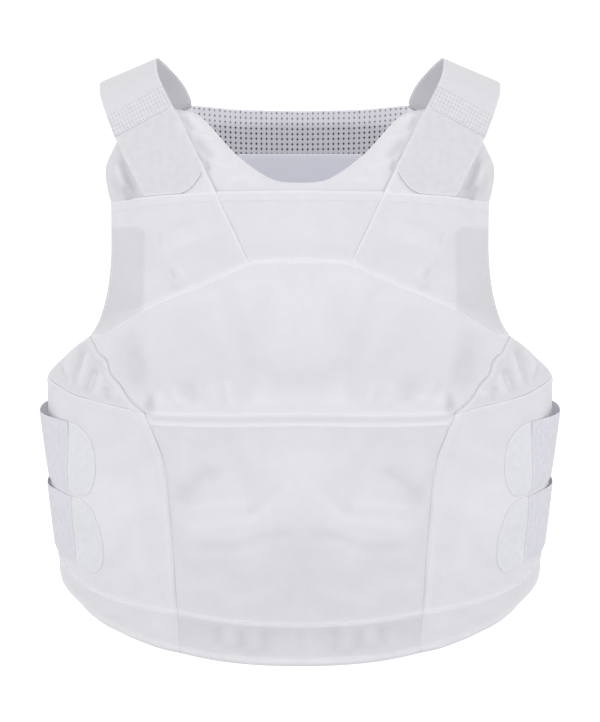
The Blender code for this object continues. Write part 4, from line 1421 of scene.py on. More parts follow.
FLAP_FOLDS: tuple[Relief, ...] = (
    WING_FURROW,
    Swell(2.5 * MM, 0.106, -0.254, -0.401),
    WAIST_RIDGES[1],
    HEM_RIDGE,
    Fold(((0.090, -0.319), (0.0812, -0.306), (0.0667, -0.2925), (0.048, -0.287)), -1.3 * MM, 6.0 * MM),
    Fold(((0.0846, -0.3176), (0.0562, -0.3145), (0.0282, -0.3126)), 0.9 * MM, 4.5 * MM),
    Fold(((0.0847, -0.3322), (0.0563, -0.3291), (0.0282, -0.322), (0.0142, -0.3016)), 0.8 * MM, 4.5 * MM),
    Fold(((0.0422, -0.320), (0.0268, -0.3126), (0.0142, -0.296)), -0.7 * MM, 4.5 * MM),
    Fold(((0.0812, -0.344), (0.0493, -0.344), (0.0268, -0.336), (0.0, -0.333)), -1.0 * MM, 5.0 * MM,
         taper=0.2),
    Undulation(31, 55 * MM, 0.35 * MM),
)


@dataclass
class Waist:
    """The narrow stitched band at the waist and the flap below it."""

    cloth: Wall = COVER_CLOTH
    band_spacing: float = 1.5 * MM
    stitch_margin: float = 1.4 * MM

    def build(self) -> None:
        """Builds the band and the flap."""
        band_cut = both_halves(joined(WAIST_TOP[::-1], WING_SEAM_TOP, WAIST_LOW))
        Cover("waist_band", band_cut, self.cloth, WAIST_RIDGES, self.band_spacing).make(WHITE_CLOTH)
        flap_cut = both_halves(joined(WAIST_LOW[::-1], WING_SEAM, HEM_STITCH_CENTRE))
        flap = Cover("lower_flap", flap_cut, self.cloth, FLAP_FOLDS)
        flap.make(WHITE_CLOTH)
        STITCHES.sew("waist_stitches", [
            Seam(WAIST_LOW, self.stitch_margin, flap.top, trim=2 * MM),
            Seam(HEM_STITCH_CENTRE, self.stitch_margin, flap.top, trim=2.5 * MM),
        ])


SIDE_FULLNESS = Ramp(0.180, 0.210, 2.4 * MM)
WING_FOLDS: tuple[Relief, ...] = (
    WING_FURROW,
    Band(WING_TOP_SIDE[::-1] + WING_TOP_FRONT[1:], 0.15 * MM, 5.5 * MM),
    HEM_RIDGE,
    Fold(beside(WING_SEAM_TOP + WING_SEAM[1:], 3.2 * MM), 0.6 * MM, 2.2 * MM, taper=0.0),
    SIDE_FULLNESS,
    Undulation(41, 50 * MM, 0.15 * MM),
)


@dataclass
class SideWings:
    """The wings that lie over the flap's seam and carry the side tabs."""

    cloth: Wall = WING_CLOTH
    stitch_margin: float = 1.4 * MM
    second_margin: float = 4.6 * MM
    front_margin: float = 2.0 * MM

    def cover(self) -> Cover:
        """The wing's cloth."""
        cut = closed(joined(WING_TOP_FRONT[::-1], WING_TOP_SIDE, FRONT_SIDE, HEM_STITCH_SIDE, WING_SEAM[::-1],
                            WING_SEAM_TOP[::-1]))
        return Cover("side_wing", cut, self.cloth, WING_FOLDS)

    def build(self) -> None:
        """Builds both wings."""
        wing = self.cover()
        wing.pair(WHITE_CLOTH)
        top = WING_TOP_FRONT[::-1] + WING_TOP_SIDE[1:]
        STITCHES.sew("wing_stitches", [
            Seam(top, -self.second_margin, wing.top, trim=3 * MM),
            Seam(top, -self.stitch_margin, wing.top, trim=3 * MM),
            Seam(WING_SEAM, self.front_margin, wing.top, trim=2 * MM),
            Seam(HEM_STITCH_SIDE, -self.stitch_margin, wing.top, trim=3 * MM),
        ])


HEM_FOLDS: tuple[Relief, ...] = (
    WING_FURROW,
    HEM_RIDGE,
    Fold(beside(HEM_CORNER + HEM_CENTRE[1:], -4.6 * MM), 0.8 * MM, 2.0 * MM, taper=0.0),
    SIDE_FULLNESS,
    Undulation(51, 30 * MM, 0.2 * MM),
)
PLEAT_FOLDS: tuple[Relief, ...] = (
    Fold(((0.0586, -0.402), (0.0594, -0.421)), -1.0 * MM, 3.6 * MM),
    Fold(((0.0505, -0.402), (0.0505, -0.421)), 0.6 * MM, 3.6 * MM),
    Fold(((0.0417, -0.402), (0.0417, -0.423)), -1.0 * MM, 3.6 * MM),
    Fold(((0.033, -0.402), (0.033, -0.423)), 0.6 * MM, 3.6 * MM),
    Fold(((0.0248, -0.403), (0.0241, -0.4245)), -0.9 * MM, 3.6 * MM),
    Fold(((0.0, -0.403), (0.0, -0.4245)), -0.6 * MM, 4.0 * MM),
)


@dataclass
class HemBands:
    """The band along the hem, in a centre piece and two side pieces."""

    cloth: Wall = Wall(1.5 * MM, 1.4 * MM, 0.85)
    side_cloth: Wall = WING_CLOTH
    stitch_margin: float = 7.2 * MM

    def build(self) -> None:
        """Builds the three bands."""
        centre_cut = both_halves(joined(HEM_STITCH_CENTRE[::-1], WING_SEAM_HEM, HEM_CENTRE))
        centre = Cover("hem_band_centre", centre_cut, self.cloth, HEM_FOLDS + PLEAT_FOLDS)
        centre.make(WHITE_CLOTH)
        side_cut = closed(joined(HEM_STITCH_SIDE[::-1], HEM_SIDE, HEM_CORNER, WING_SEAM_HEM[::-1]))
        side = Cover("hem_band", side_cut, self.side_cloth, HEM_FOLDS)
        side.pair(WHITE_CLOTH)
        STITCHES.sew("hem_stitches", [
            Seam(HEM_CENTRE, -self.stitch_margin, centre.top, trim=2.5 * MM),
            Seam(HEM_CORNER, -self.stitch_margin, side.top, trim=3 * MM),
        ])


GATHER_FOLDS: tuple[Relief, ...] = (
    GUSSET_FURROW,
    Fold(beside(GUSSET_SEAM, 3.0 * MM), 0.8 * MM, 1.7 * MM, taper=0.0),
    Fold(((0.189, -0.219), (0.185, -0.2262), (0.180, -0.2334)), -1.2 * MM, 3.0 * MM, taper=0.25),
    Fold(((0.1705, -0.204), (0.1784, -0.2161), (0.1825, -0.229)), 1.6 * MM, 3.0 * MM, taper=0.25),
    Fold(((0.1615, -0.203), (0.1656, -0.215), (0.1745, -0.235)), -1.8 * MM, 3.0 * MM, taper=0.25),
    Fold(((0.1565, -0.2057), (0.1605, -0.2161), (0.1673, -0.2365)), 1.6 * MM, 3.0 * MM, taper=0.25),
    Fold(((0.150, -0.217), (0.156, -0.2296), (0.162, -0.2393)), -1.8 * MM, 3.0 * MM, taper=0.25),
    Fold(((0.145, -0.2205), (0.148, -0.2324), (0.1515, -0.2405)), 1.3 * MM, 2.8 * MM, taper=0.25),
    Fold(((0.142, -0.2305), (0.1407, -0.2378), (0.1385, -0.2424)), -1.3 * MM, 2.8 * MM, taper=0.25),
    Fold(((0.133, -0.232), (0.131, -0.240)), 0.8 * MM, 2.8 * MM),
    SIDE_FULLNESS,
    Undulation(71, 14 * MM, 0.12 * MM),
)


@dataclass
class Gussets:
    """The gathered cloth at each armpit, between the pocket's seam and the wing's top."""

    cloth: Wall = Wall(1.4 * MM, 1.2 * MM, 0.85)
    spacing: float = 1.4 * MM
    seam_margin: float = 4.6 * MM
    armpit_margin: float = 3.6 * MM

    def build(self) -> None:
        """Builds both gussets."""
        cut = closed(joined(GUSSET_SEAM[::-1], FRONT_ARMPIT, WING_TOP_FRONT))
        gusset = Cover("side_gusset", cut, self.cloth, GATHER_FOLDS, self.spacing)
        gusset.pair(DARKER_PAINTED_GUSSET_CLOTH)
        STITCHES.sew("gusset_stitches", [
            Seam(GUSSET_SEAM, self.seam_margin, gusset.top, trim=4 * MM),
            Seam(FRONT_ARMPIT, -self.armpit_margin, gusset.top, trim=3 * MM),
        ])


# The back.

BACK_HEM_SEAM = beside(BACK_HEM, -24 * MM)
BACK_RELIEF: tuple[Relief, ...] = (
    Fold(BACK_HEM_SEAM, 0.6 * MM, 2.2 * MM, taper=0.0),
    Fold(beside(BACK_HEM, -4.6 * MM), 0.7 * MM, 2.2 * MM, taper=0.0),
    Undulation(61, 70 * MM, 0.15 * MM),
)
STRAP_END_PATCH: Line = ((0.060, -0.030), (0.132, -0.050), (0.116, -0.100), (0.060, -0.080))
SIDE_STRAP_PATCH: Line = ((0.118, -0.240), (0.220, -0.240), (0.220, -0.372), (0.118, -0.372))
BACK_FULLNESS = Settled(BACK_OUTLINE, (BACK_HEM_SEAM,), (STRAP_END_PATCH, SIDE_STRAP_PATCH),
                        seed=91, rise=1.5 * MM, fold_length=45 * MM, mirrored=False)


def back_top(flat: Array) -> Array:
    """Lift of the back panel's outer side over the form."""
    edge = nearest(flat, BACK_OUTLINE, loop=True).gap
    return PAD.upper(edge) + relief_lift(BACK_RELIEF, flat) + BACK_FULLNESS.lift(flat)


@dataclass
class Back:
    """The padded back panel, its mesh lining and the plain label at the neck."""

    wall: Wall = PAD
    spacing: float = 3.0 * MM
    hem_margins: tuple[float, ...] = (22.4 * MM, 25.6 * MM, 7.0 * MM)
    edge_margin: float = 6.0 * MM
    lining_wall: Wall = Wall(1.4 * MM, 1.0 * MM)
    lining_base: float = -1.6 * MM
    lining_inset: float = 0.1 * MM
    lining_spacing: float = 0.2 * MM
    lining_rise: float = 4.4 * MM
    rise_full: float = 80 * MM
    rise_end: float = 92 * MM
    rise_depth: float = 10 * MM
    rim_share: float = 0.15
    hole_pitch: float = 4.0 * MM
    hole_width: float = 2.6 * MM
    hole_height: float = 3.6 * MM
    hole_corners: int = 4
    hole_clearance: float = 1.15 * MM
    centre_reach: float = 0.05 * MM
    hole_shade: float = 0.68
    deep_hole_shade: float = 0.45
    first_row: float = 1.95 * MM
    deep_rows: float = 14 * MM
    pit: float = 0.9 * MM
    label_wall: Wall = Wall(0.8 * MM, 0.6 * MM)
    label_base: float = -2.7 * MM
    label_spacing: float = 2.5 * MM
    label_half: float = 48 * MM
    label_top: float = -66.5 * MM
    label_height: float = 48 * MM
    label_corner: float = 5 * MM
    corner_steps: int = 7
    tape_start: float = 2.4 * MM
    tape_end: float = 2.8 * MM
    tape_stitch: float = 1.5 * MM

    def build(self) -> None:
        """Builds the panel, the lining and the label."""
        flat = fill(BACK_OUTLINE, self.spacing, self.wall.rings())
        fullness = BACK_FULLNESS.lift(flat.points)
        # The back panel's ridges get painted highlight and its furrows painted shade.
        panel = shell("back_panel_pad", flat, self.wall, relief_lift(BACK_RELIEF, flat.points) + fullness,
                      under=np.zeros(len(flat.points)), from_back=True,
                      values={"painted_light_and_tint": painted_light_and_tint(BACK_RELIEF, flat.points, fullness)})
        WARDROBE.dress(panel, WHITE_CLOTH, "back_panel")
        self.build_lining()
        self.build_label()
        lines = [(BACK_HEM, margin) for margin in self.hem_margins]
        lines += [(edge, self.edge_margin) for edge in (BACK_ARMHOLE, BACK_SIDE, BACK_NECK)]
        STITCHES.sew("back_stitches", [Seam(line, -margin, back_top, trim=self.edge_margin, from_back=True)
                                       for line, margin in lines])

    def hole_centres(self, outline: Array) -> Array:
        """The places of the lining's holes, in rows that follow the back's neck edge."""
        half = outline[:, 0].max() / self.hole_pitch
        columns = np.arange(-math.ceil(half), half) + 0.5
        rows = np.arange(np.ptp(outline[:, 1]) / self.hole_pitch) * self.hole_pitch + self.first_row
        x, y = np.meshgrid(columns * self.hole_pitch, -rows)
        neck = smooth_line(BACK_NECK)
        y += np.interp(np.abs(x), neck[:, 0], neck[:, 1]) + self.lining_rise
        centres = np.column_stack([x.ravel(), y.ravel()])
        edge = np.where(contains(outline, centres), nearest(centres, outline, loop=True).gap, 0.0)
        return centres[edge > self.hole_clearance]

    def build_lining(self) -> None:
        """Builds the lining, whose inner side has a pit for each hole of the mesh."""
        outline = inset(BACK_OUTLINE, self.lining_inset)
        raised = 1 - faded(np.abs(outline[:, 0]), self.rise_full, self.rise_end)
        raised[outline[:, 1] <= BACK_SHOULDER[0][1] - self.rise_depth] = 0.0
        outline[:, 1] += self.lining_rise * raised
        centres = self.hole_centres(outline)
        turns = np.arange(self.hole_corners) * 2 * math.pi / self.hole_corners
        rim = np.column_stack([np.cos(turns) * self.hole_width / 2, np.sin(turns) * self.hole_height / 2])
        rims = centres[:, None] + rim[None]
        flat = fill(outline, self.lining_spacing, self.lining_wall.rings(), centres, rims)
        tree = point_tree(centres)
        pit = np.array([tree.find((x, y, 0.0))[2] < self.centre_reach for x, y in flat.points])
        rim_gap = nearest(flat.points, BACK_OUTLINE, loop=True).gap * contains(BACK_OUTLINE, flat.points)
        base = self.lining_base + self.rim_share * self.wall.lower(rim_gap)
        top = BACK_NECK[0][1] + self.lining_rise
        # Painted shade: the holes are painted dark, darker further below the top, and the lining is painted
        # darker below its top rows.
        deep = faded(top - flat.points[:, 1], self.deep_rows / 2, self.deep_rows)
        values = {"hole": pit * (self.hole_shade + self.deep_hole_shade * deep), "bare": deep}
        under = base + pit * self.pit
        thing = shell("back_lining_mesh", flat, self.lining_wall, base, under, from_back=True, values=values)
        WARDROBE.dress(thing, MESH_LINING, "back_lining")
        declare_sheet(outline)

    def build_label(self) -> None:
        """Builds the bare label, with rounded lower corners and a stitched tape along its top."""
        half, radius = self.label_half, self.label_corner
        bottom = self.label_top - self.label_height
        turns = np.linspace(0, math.pi / 2, self.corner_steps)
        corner = np.column_stack([half - radius * (1 - np.cos(turns)), bottom + radius * (1 - np.sin(turns))])
        upright = smooth_line(((half, self.label_top), (half, bottom + radius)))
        top = smooth_line(((0.0, self.label_top), (half, self.label_top)))
        base_line = smooth_line(((half - radius, bottom), (0.0, bottom)))
        outline = both_halves(np.vstack([top[:-1], upright[:-1], corner[:-1], base_line]))
        flat = fill(outline, self.label_spacing, self.label_wall.rings())
        # A lighter tape along the label's top, carried by the same named number that paints light on ridges.
        tape = 1 - faded(self.label_top - flat.points[:, 1], self.tape_start, self.tape_end)
        thing = shell("neck_label_patch", flat, self.label_wall, np.full(len(flat.points), self.label_base),
                      from_back=True, values={"painted_light_and_tint": tape})
        WARDROBE.dress(thing, LABEL_SATIN, "neck_label")
        declare_sheet(outline)

        def label_face(flat: Array) -> Array:
            """Lift of the label's visible side."""
            return np.full(len(flat), self.label_base)

        level = self.label_top - self.tape_stitch
        seam = Seam(((0.0, level), (half, level)), 0.0, label_face, trim=MM, from_back=True, inner=True)
        STITCHES.sew("label_stitches", [seam])


# Shoulder straps.

SHOULDER_TAB_TOP: Line = ((0.0925, -0.0345), (0.1345, -0.0555))
SHOULDER_TAB_OUTER: Line = ((0.1345, -0.0555), (0.1115, -0.0967))
SHOULDER_TAB_END: Line = ((0.1115, -0.0967), (0.098, -0.0957), (0.085, -0.0948))
SHOULDER_TAB_ROUND: Line = ((0.085, -0.0948), (0.078, -0.0908), (0.0725, -0.084), (0.0685, -0.077))
SHOULDER_TAB_INNER: Line = ((0.0685, -0.077), (0.0925, -0.0345))
TAB_BEAD = Fold(SHOULDER_TAB_INNER, 1.0 * MM, 2.4 * MM, taper=0.0)
STRAP_END_OUTLINE: Line = ((0.0825, -0.035), (0.126, -0.055), (0.110, -0.091), (0.067, -0.072))
STRAP_FRONT: Line = ((0.1345, -0.0554), (0.0925, -0.0344))
STRAP_BACK: Line = ((0.126, -0.0545), (0.0832, -0.0345))
STRAP_LEAD = 3.5 * MM
END_ROWS = np.array((0.0, 0.0006, 0.002))
END_ROLL = 0.03 * MM
LEVEL_STRAP = 0.3
TAB_OFFSET = 10.9 * MM
COVER_OFFSET = 9.6 * MM


@dataclass(frozen=True)
class Station:
    """The outer and the inner edge of the strap's underside at one place of its arch."""

    outer: tuple[float, float, float]
    inner: tuple[float, float, float]


STRAP_ARCH = (
    Station((0.144, -0.049, -0.031), (0.103, -0.049, -0.0085)),
    Station((0.1485, -0.030, -0.0185), (0.106, -0.030, 0.0022)),
    Station((0.149, -0.003, -0.0118), (0.1062, 0.000, 0.006)),
    Station((0.144, 0.026, -0.0165), (0.0982, 0.026, -0.0026)),
    Station((0.137, 0.052, -0.031), (0.089, 0.052, -0.015)),
)


def web_object(name: str, rows: Array, wall: Wall, ribs: Array | None = None,
               groove_painted_shade: float = 0.0) -> bpy.types.Object:
    """A strap with rolled edges over a grid of underside points.

    Args:
        name: The object's name.
        rows: The underside's points, by row along the strap and by lane across it.
        wall: The strap's thickness and roll.
        ribs: Extra thickness of the outer side at each point.
        groove_painted_shade: How much painted shade darkens the grooves between the ribs.

    Returns:
        The strap.
    """
    normals = unit(np.cross(np.gradient(rows, axis=0), np.gradient(rows, axis=1)))
    upward = float(normals[..., 2].mean())
    outward = float((normals[..., :2] * rows[..., :2]).sum())
    if (upward if abs(upward) > LEVEL_STRAP else outward) < 0:
        normals = -normals
    reach = running_sum(np.linalg.norm(np.diff(rows, axis=0), axis=2).mean(axis=1))
    width = running_sum(np.linalg.norm(np.diff(rows, axis=1), axis=2).mean(axis=0))
    u, v = np.meshgrid(reach, width, indexing="ij")
    ends = np.minimum(u, reach[-1] - u) * wall.roll / END_ROLL
    edge = np.minimum(ends, np.minimum(v, width[-1] - v))
    ribs = np.zeros(rows.shape[:2]) if ribs is None else ribs
    upper = rows + normals * (wall.upper(edge) + ribs * rounded(edge, wall.roll))[..., None]
    lower = rows + normals * wall.lower(edge)[..., None]
    count, lanes = rows.shape[:2]
    number = np.arange(count * lanes).reshape(count, lanes)
    within = np.zeros((count, lanes), dtype=bool)
    within[1:-1, 1:-1] = True
    below = number.copy()
    below[within] = count * lanes + np.arange(within.sum())
    top, bottom = quads(number), quads(below)
    a, b, c = upper[0, 0], upper[1, 0], upper[1, 1]
    facing = float(np.cross(b - a, c - b) @ normals[0, 0]) > 0
    faces = np.vstack([top, bottom[:, ::-1]] if facing else [top[:, ::-1], bottom])
    verts = np.vstack([upper.reshape(-1, 3), lower[within]])
    cloth = np.stack([u, v], axis=-1).reshape(-1, 2)
    cloth = np.vstack([cloth, cloth[within.ravel()]])
    # Painted shade in the grooves between the ribs and in the elastic's dashes.
    low = np.clip(1 - ribs / max(float(ribs.max()), TINY), 0.0, 1.0) * (ribs.max() > 0)
    numbers = {"edge": edge, "bare": low * groove_painted_shade}
    numbers = {label: np.concatenate([row.ravel(), row[within]]) for label, row in numbers.items()}
    return mesh_object(name, verts, faces, cloth, numbers)


@dataclass
class ShoulderStraps:
    """Over each shoulder: the tab on its landing, the ribbed elastic, the strap and its sewn end."""

    tab_wall: Wall = Wall(1.1 * MM, 1.0 * MM, 0.9)
    strap_wall: Wall = Wall(1.3 * MM, 1.0 * MM, 0.88)
    elastic_wall: Wall = Wall(1.25 * MM, 1.0 * MM, 0.9)
    end_wall: Wall = Wall(2.0 * MM, 1.0 * MM)
    patch_spacing: float = 2.0 * MM
    tab_drop: float = 0.45 * MM
    bead_share: float = 0.45
    width: float = 50 * MM
    rows: int = 110
    lanes: int = 41
    elastic_rows: int = 60
    elastic_lanes: int = 101
    steps: int = 28
    elastic_steps: int = 3
    joint_gap: float = 0.008 * MM
    dash_pitch: float = 2.6 * MM
    dash_row_pitch: float = 3.0 * MM
    dash_depth: float = 0.4 * MM
    dash_narrowness: float = 6
    dash_shortness: float = 1.5
    dash_shade: float = 0.85
    stitch_margin: float = 2.4 * MM
    tab_top_margin: float = 1.6 * MM
    box_margin: float = 3.0 * MM
    box_trim: float = 5.0 * MM

    def stations(self, lanes: int) -> list[Array]:
        """The strap's cross rows from the front tab to the back panel, each as lanes of points."""
        share = np.linspace(0.0, 1.0, lanes)[:, None]

        def foot(edge: Line, offset: float, raised: float, from_back: bool) -> Array:
            """A cross row on the form, between the two ends of an edge that is raised on the flat cloth."""
            outer, inner = (np.array(point) + (0.0, raised) for point in edge)
            return FORM.place(outer * (1 - share) + inner * share, offset, from_back)

        rows = [foot(STRAP_FRONT, TAB_OFFSET, 0.0, False)]
        rows += [np.array(station.outer) * (1 - share) + np.array(station.inner) * share
                 for station in STRAP_ARCH]
        rows += [foot(STRAP_BACK, COVER_OFFSET + LAYER_GAP, raised, True) for raised in (STRAP_LEAD, 0.0)]
        return rows

    def rows_between(self, first: float, last: float, count: int, lanes: int) -> Array:
        """Rows of the strap's underside between two steps, drawn in at both ends by the joint gap.

        Args:
            first: The step to start at.
            last: The step to end at.
            count: How many rows.
            lanes: How many lanes across.

        Returns:
            The points, by row and lane.
        """
        stations = self.stations(lanes)
        rows = []
        tip = (last - first) * END_ROWS
        for step in np.concatenate([first + tip, np.linspace(first, last, count)[1:-1], last - tip[::-1]]):
            place = step / self.steps * (len(stations) - 1)
            k = min(int(place), len(stations) - 2)
            near = [stations[min(max(k + shift, 0), len(stations) - 1)] for shift in (-1, 0, 1, 2)]
            rows.append(bend(place - k, *near))
        rows = np.array(rows)
        for end, inner in ((0, 1), (-1, -2)):
            rows[end] += unit(rows[inner] - rows[end]) * self.joint_gap
        return rows

    def build(self) -> None:
        """Builds the straps of both shoulders."""
        tab = closed(joined(SHOULDER_TAB_TOP, SHOULDER_TAB_OUTER, SHOULDER_TAB_END, SHOULDER_TAB_ROUND))
        end = np.asarray(STRAP_END_OUTLINE)
        end = closed(joined(*[tuple(map(tuple, end[[k, (k + 1) % 4]])) for k in range(4)]))
        for side, mirrored in SIDES:
            self.build_patch("shoulder_tab_" + side, tab, self.tab_base, self.tab_wall, TAB_CLOTH, mirrored)
            self.build_patch("strap_end_" + side, end, self.end_base, self.end_wall, STRAP_CLOTH, mirrored,
                             from_back=True)
            turn = (-1.0 if mirrored else 1.0, 1.0, 1.0)
            elastic = self.rows_between(0, self.elastic_steps, self.elastic_rows, self.elastic_lanes) * turn
            self.finish_web("shoulder_elastic_" + side, elastic, ELASTIC, self.dashes(elastic))
            strap = self.rows_between(self.elastic_steps, self.steps, self.rows, self.lanes) * turn
            self.finish_web("shoulder_strap_" + side, strap, STRAP_CLOTH)
        self.sew()

    def tab_base(self, flat: Array) -> Array:
        """Lift of the tab's underside: it sinks towards its end, and its inner edge has a raised bead."""
        high, low = SHOULDER_TAB_TOP[0][1], SHOULDER_TAB_END[0][1]
        sunk = self.tab_drop * np.clip((high - flat[:, 1]) / (high - low), 0.0, 1.0)
        return TAB_OFFSET - sunk + self.bead_share * relief_lift((TAB_BEAD,), flat)

    def end_base(self, flat: Array) -> Array:
        """Lift of the sewn end's underside."""
        return np.full(len(flat), COVER_OFFSET)

    def dashes(self, rows: Array) -> Array:
        """Extra thickness of the elastic, nothing in the small dashes between its gathered cords."""
        reaches = (running_sum(step_lengths(rows.mean(axis=axis))) for axis in (1, 0))
        u, v = np.meshgrid(*reaches, indexing="ij")
        dash = np.abs(np.sin(math.pi * v / self.dash_pitch)) ** self.dash_narrowness
        dash *= np.abs(np.sin(math.pi * u / self.dash_row_pitch)) ** self.dash_shortness
        return self.dash_depth * (1 - dash)

    def sew(self) -> None:
        """Sews the tabs' borders and the boxes on the straps' sewn ends."""
        def tab_top(flat: Array) -> Array:
            """Lift of the tab's outer side."""
            return self.tab_base(flat) + self.tab_wall.thickness

        def end_top(flat: Array) -> Array:
            """Lift of the sewn end's outer side."""
            return self.end_base(flat) + self.end_wall.thickness

        seams = [
            Seam(SHOULDER_TAB_TOP, -self.tab_top_margin, tab_top, trim=3 * MM),
            Seam(SHOULDER_TAB_OUTER, -self.stitch_margin, tab_top, trim=3 * MM),
            Seam(SHOULDER_TAB_END + SHOULDER_TAB_ROUND[1:], -self.stitch_margin, tab_top, trim=3 * MM),
        ]
        box = STRAP_END_OUTLINE + STRAP_END_OUTLINE[:1]
        seams += [Seam(edge, -self.box_margin, end_top, trim=self.box_margin, from_back=True)
                  for edge in zip(box, box[1:])]
        seams += [Seam((box[start], box[start + 2]), 0.0, end_top, trim=self.box_trim, from_back=True)
                  for start in (0, 1)]
        STITCHES.sew("strap_stitches", seams)

    def finish_web(self, name: str, rows: Array, finish: Finish, ribs: Array | None = None) -> None:
        """Builds and dresses a stretch of the strap."""
        wall, shade = (self.strap_wall, 0.0) if ribs is None else (self.elastic_wall, self.dash_shade)
        thing = web_object(name + "_webbing", rows, wall, ribs, shade)
        WARDROBE.dress(thing, finish, name)

    def build_patch(self, name: str, outline: Array, lift: Lift, wall: Wall, finish: Finish, mirrored: bool,
                    from_back: bool = False) -> None:
        """Builds and dresses a flat patch on the form, with the tab's bead and its painted highlight where it
        is on the front.
        """
        flat = fill(outline, self.patch_spacing, wall.rings())
        # Painted highlight along the tab's raised bead.
        bead = painted_light_and_tint((TAB_BEAD,), flat.points) * (not from_back)
        thing = shell(name + "_cloth", flat, wall, lift(flat.points), mirrored=mirrored, from_back=from_back,
                      values={"painted_light_and_tint": bead})
        WARDROBE.dress(thing, finish, name)
        declare_sheet(outline)


# Side straps.

@dataclass(frozen=True)
class StandOff:
    """How far a side strap's underside stands off the form at its top and its lower edge."""

    out: float
    top: float
    low: float


SIDE_STAND_OFF = (
    StandOff(0.170, 0.0108, 0.0108),
    StandOff(0.184, 0.0111, 0.0111),
    StandOff(0.193, 0.0126, 0.0117),
    StandOff(0.201, 0.0154, 0.013),
    StandOff(0.211, 0.0178, 0.0141),
    StandOff(0.236, 0.0186, 0.0147),
    StandOff(0.265, 0.016, 0.011),
    StandOff(0.300, 0.0115, 0.0096),
    StandOff(0.330, 0.0096, 0.0096),
    StandOff(0.360, 0.0096, 0.0096),
)
WING_REACH = 0.228


@dataclass(frozen=True)
class SideStrap:
    """One elastic side strap: its top and lower edges, its tab's end and how much its top edge flares."""

    name: str
    top: Line
    low: Line
    tab_end: Line
    flare: float = 1.0


SIDE_STRAPS = (
    SideStrap("upper", ((0.180, -0.260), (0.235, -0.2555), (0.300, -0.2512), (0.352, -0.250)),
              ((0.180, -0.312), (0.235, -0.306), (0.300, -0.3015), (0.347, -0.3005)),
              ((0.180, -0.260), (0.1675, -0.262), (0.157, -0.269), (0.1515, -0.282), (0.151, -0.298),
               (0.1535, -0.307), (0.159, -0.3125), (0.168, -0.3133), (0.180, -0.312))),
    SideStrap("lower", ((0.175, -0.315), (0.235, -0.3098), (0.300, -0.3052), (0.346, -0.304)),
              ((0.175, -0.365), (0.235, -0.359), (0.300, -0.3545), (0.339, -0.3535)),
              ((0.175, -0.315), (0.164, -0.3165), (0.153, -0.324), (0.1465, -0.339), (0.145, -0.354),
               (0.1475, -0.3645), (0.1535, -0.370), (0.163, -0.369), (0.175, -0.365)), flare=0.4),
)


@dataclass
class SideStraps:
    """Two elastic straps on each side, each with a rounded tab on the wing."""

    wall: Wall = Wall(0.8 * MM, 0.8 * MM, 0.7)
    tab_wall: Wall = Wall(0.6 * MM, 1.6 * MM, 0.25)
    root_roll: float = 0.05 * MM
    tab_gap: float = 0.06 * MM
    tab_spacing: float = 1.8 * MM
    width: float = 50 * MM
    line_step: float = 0.5 * MM
    edge_gap: float = 0.004
    lanes: int = 17
    rib_pitch: float = 1.7 * MM
    rib_rise: float = 0.25 * MM
    rib_shade: float = 0.2
    rows_per_rib: int = 5

    def build(self) -> None:
        """Builds the straps and the tabs of both sides."""
        for strap in SIDE_STRAPS:
            for side, mirrored in SIDES:
                self.build_strap(strap, side, mirrored)
                self.build_tab(strap, side, mirrored)

    def build_strap(self, strap: SideStrap, side: str, mirrored: bool) -> None:
        """Builds one ribbed strap."""
        top, low = (smooth_line(line, self.line_step) for line in (strap.top, strap.low))
        length = float(step_lengths(top).sum())
        count = int(length / self.rib_pitch * self.rows_per_rib)

        def even(line: Array) -> Array:
            """A line with a point for each row, from just behind the tab's root to its end."""
            reach = running_sum(step_lengths(line))
            at = np.linspace(SEAM_HALF_GAP, reach[-1], count)
            return np.column_stack([np.interp(at, reach, line[:, k]) for k in (0, 1)])

        upper, lower = even(top), even(low)
        share = np.linspace(self.edge_gap, 1 - self.edge_gap, self.lanes)[None, :, None]
        flat = upper[:, None] * (1 - share) + lower[:, None] * share
        outs = np.array([row.out for row in SIDE_STAND_OFF])
        high = smooth_values(outs, np.array([row.top for row in SIDE_STAND_OFF]), flat[..., 0])
        deep = smooth_values(outs, np.array([row.low for row in SIDE_STAND_OFF]), flat[..., 0])
        lift = deep + (high - deep) * strap.flare * (1 - share[..., 0])
        over_wing = SideWings().cover().top(flat.reshape(-1, 2)).reshape(lift.shape) + self.tab_gap
        lift = np.where(flat[..., 0] < WING_REACH, np.maximum(lift, over_wing), lift)
        rows = FORM.place(flat.reshape(-1, 2), lift.ravel()).reshape(count, self.lanes, 3)
        rows[..., 0] *= -1.0 if mirrored else 1.0
        ribs = self.rib_rise * np.abs(np.sin(math.pi * np.arange(count) / self.rows_per_rib))
        ribs = np.repeat(ribs[:, None], self.lanes, axis=1)
        name = f"{strap.name}_side_strap_{side}"
        # Painted shade between the side strap's ribs.
        thing = web_object(name + "_webbing", rows, self.wall, ribs, self.rib_shade)
        WARDROBE.dress(thing, LIGHTER_PAINTED_SIDE_ELASTIC, name)

    def build_tab(self, strap: SideStrap, side: str, mirrored: bool) -> None:
        """Builds one rounded tab."""
        root = smooth_line((strap.tab_end[-1], strap.tab_end[0]))
        outline = inset(np.vstack([smooth_line(strap.tab_end), root[1:-1]]), SEAM_HALF_GAP)
        flat = fill(outline, self.tab_spacing, self.tab_wall.rings())
        straight = nearest(flat.points, root).gap * self.tab_wall.roll / self.root_roll
        edge = np.minimum(nearest(flat.points, smooth_line(strap.tab_end)).gap, straight)
        flat = replace(flat, edge=np.where(flat.edge > 0, edge, 0.0))
        name = f"{strap.name}_side_tab_{side}"
        base = SideWings().cover().top(flat.points) + self.tab_gap
        thing = shell(name + "_cloth", flat, self.tab_wall, base, mirrored=mirrored)
        WARDROBE.dress(thing, LIGHTER_PAINTED_SIDE_TAB_CLOTH, name)
        declare_sheet(outline)


# The studio.

WHITE_LIGHT = (1.0, 1.0, 1.0, 1.0)


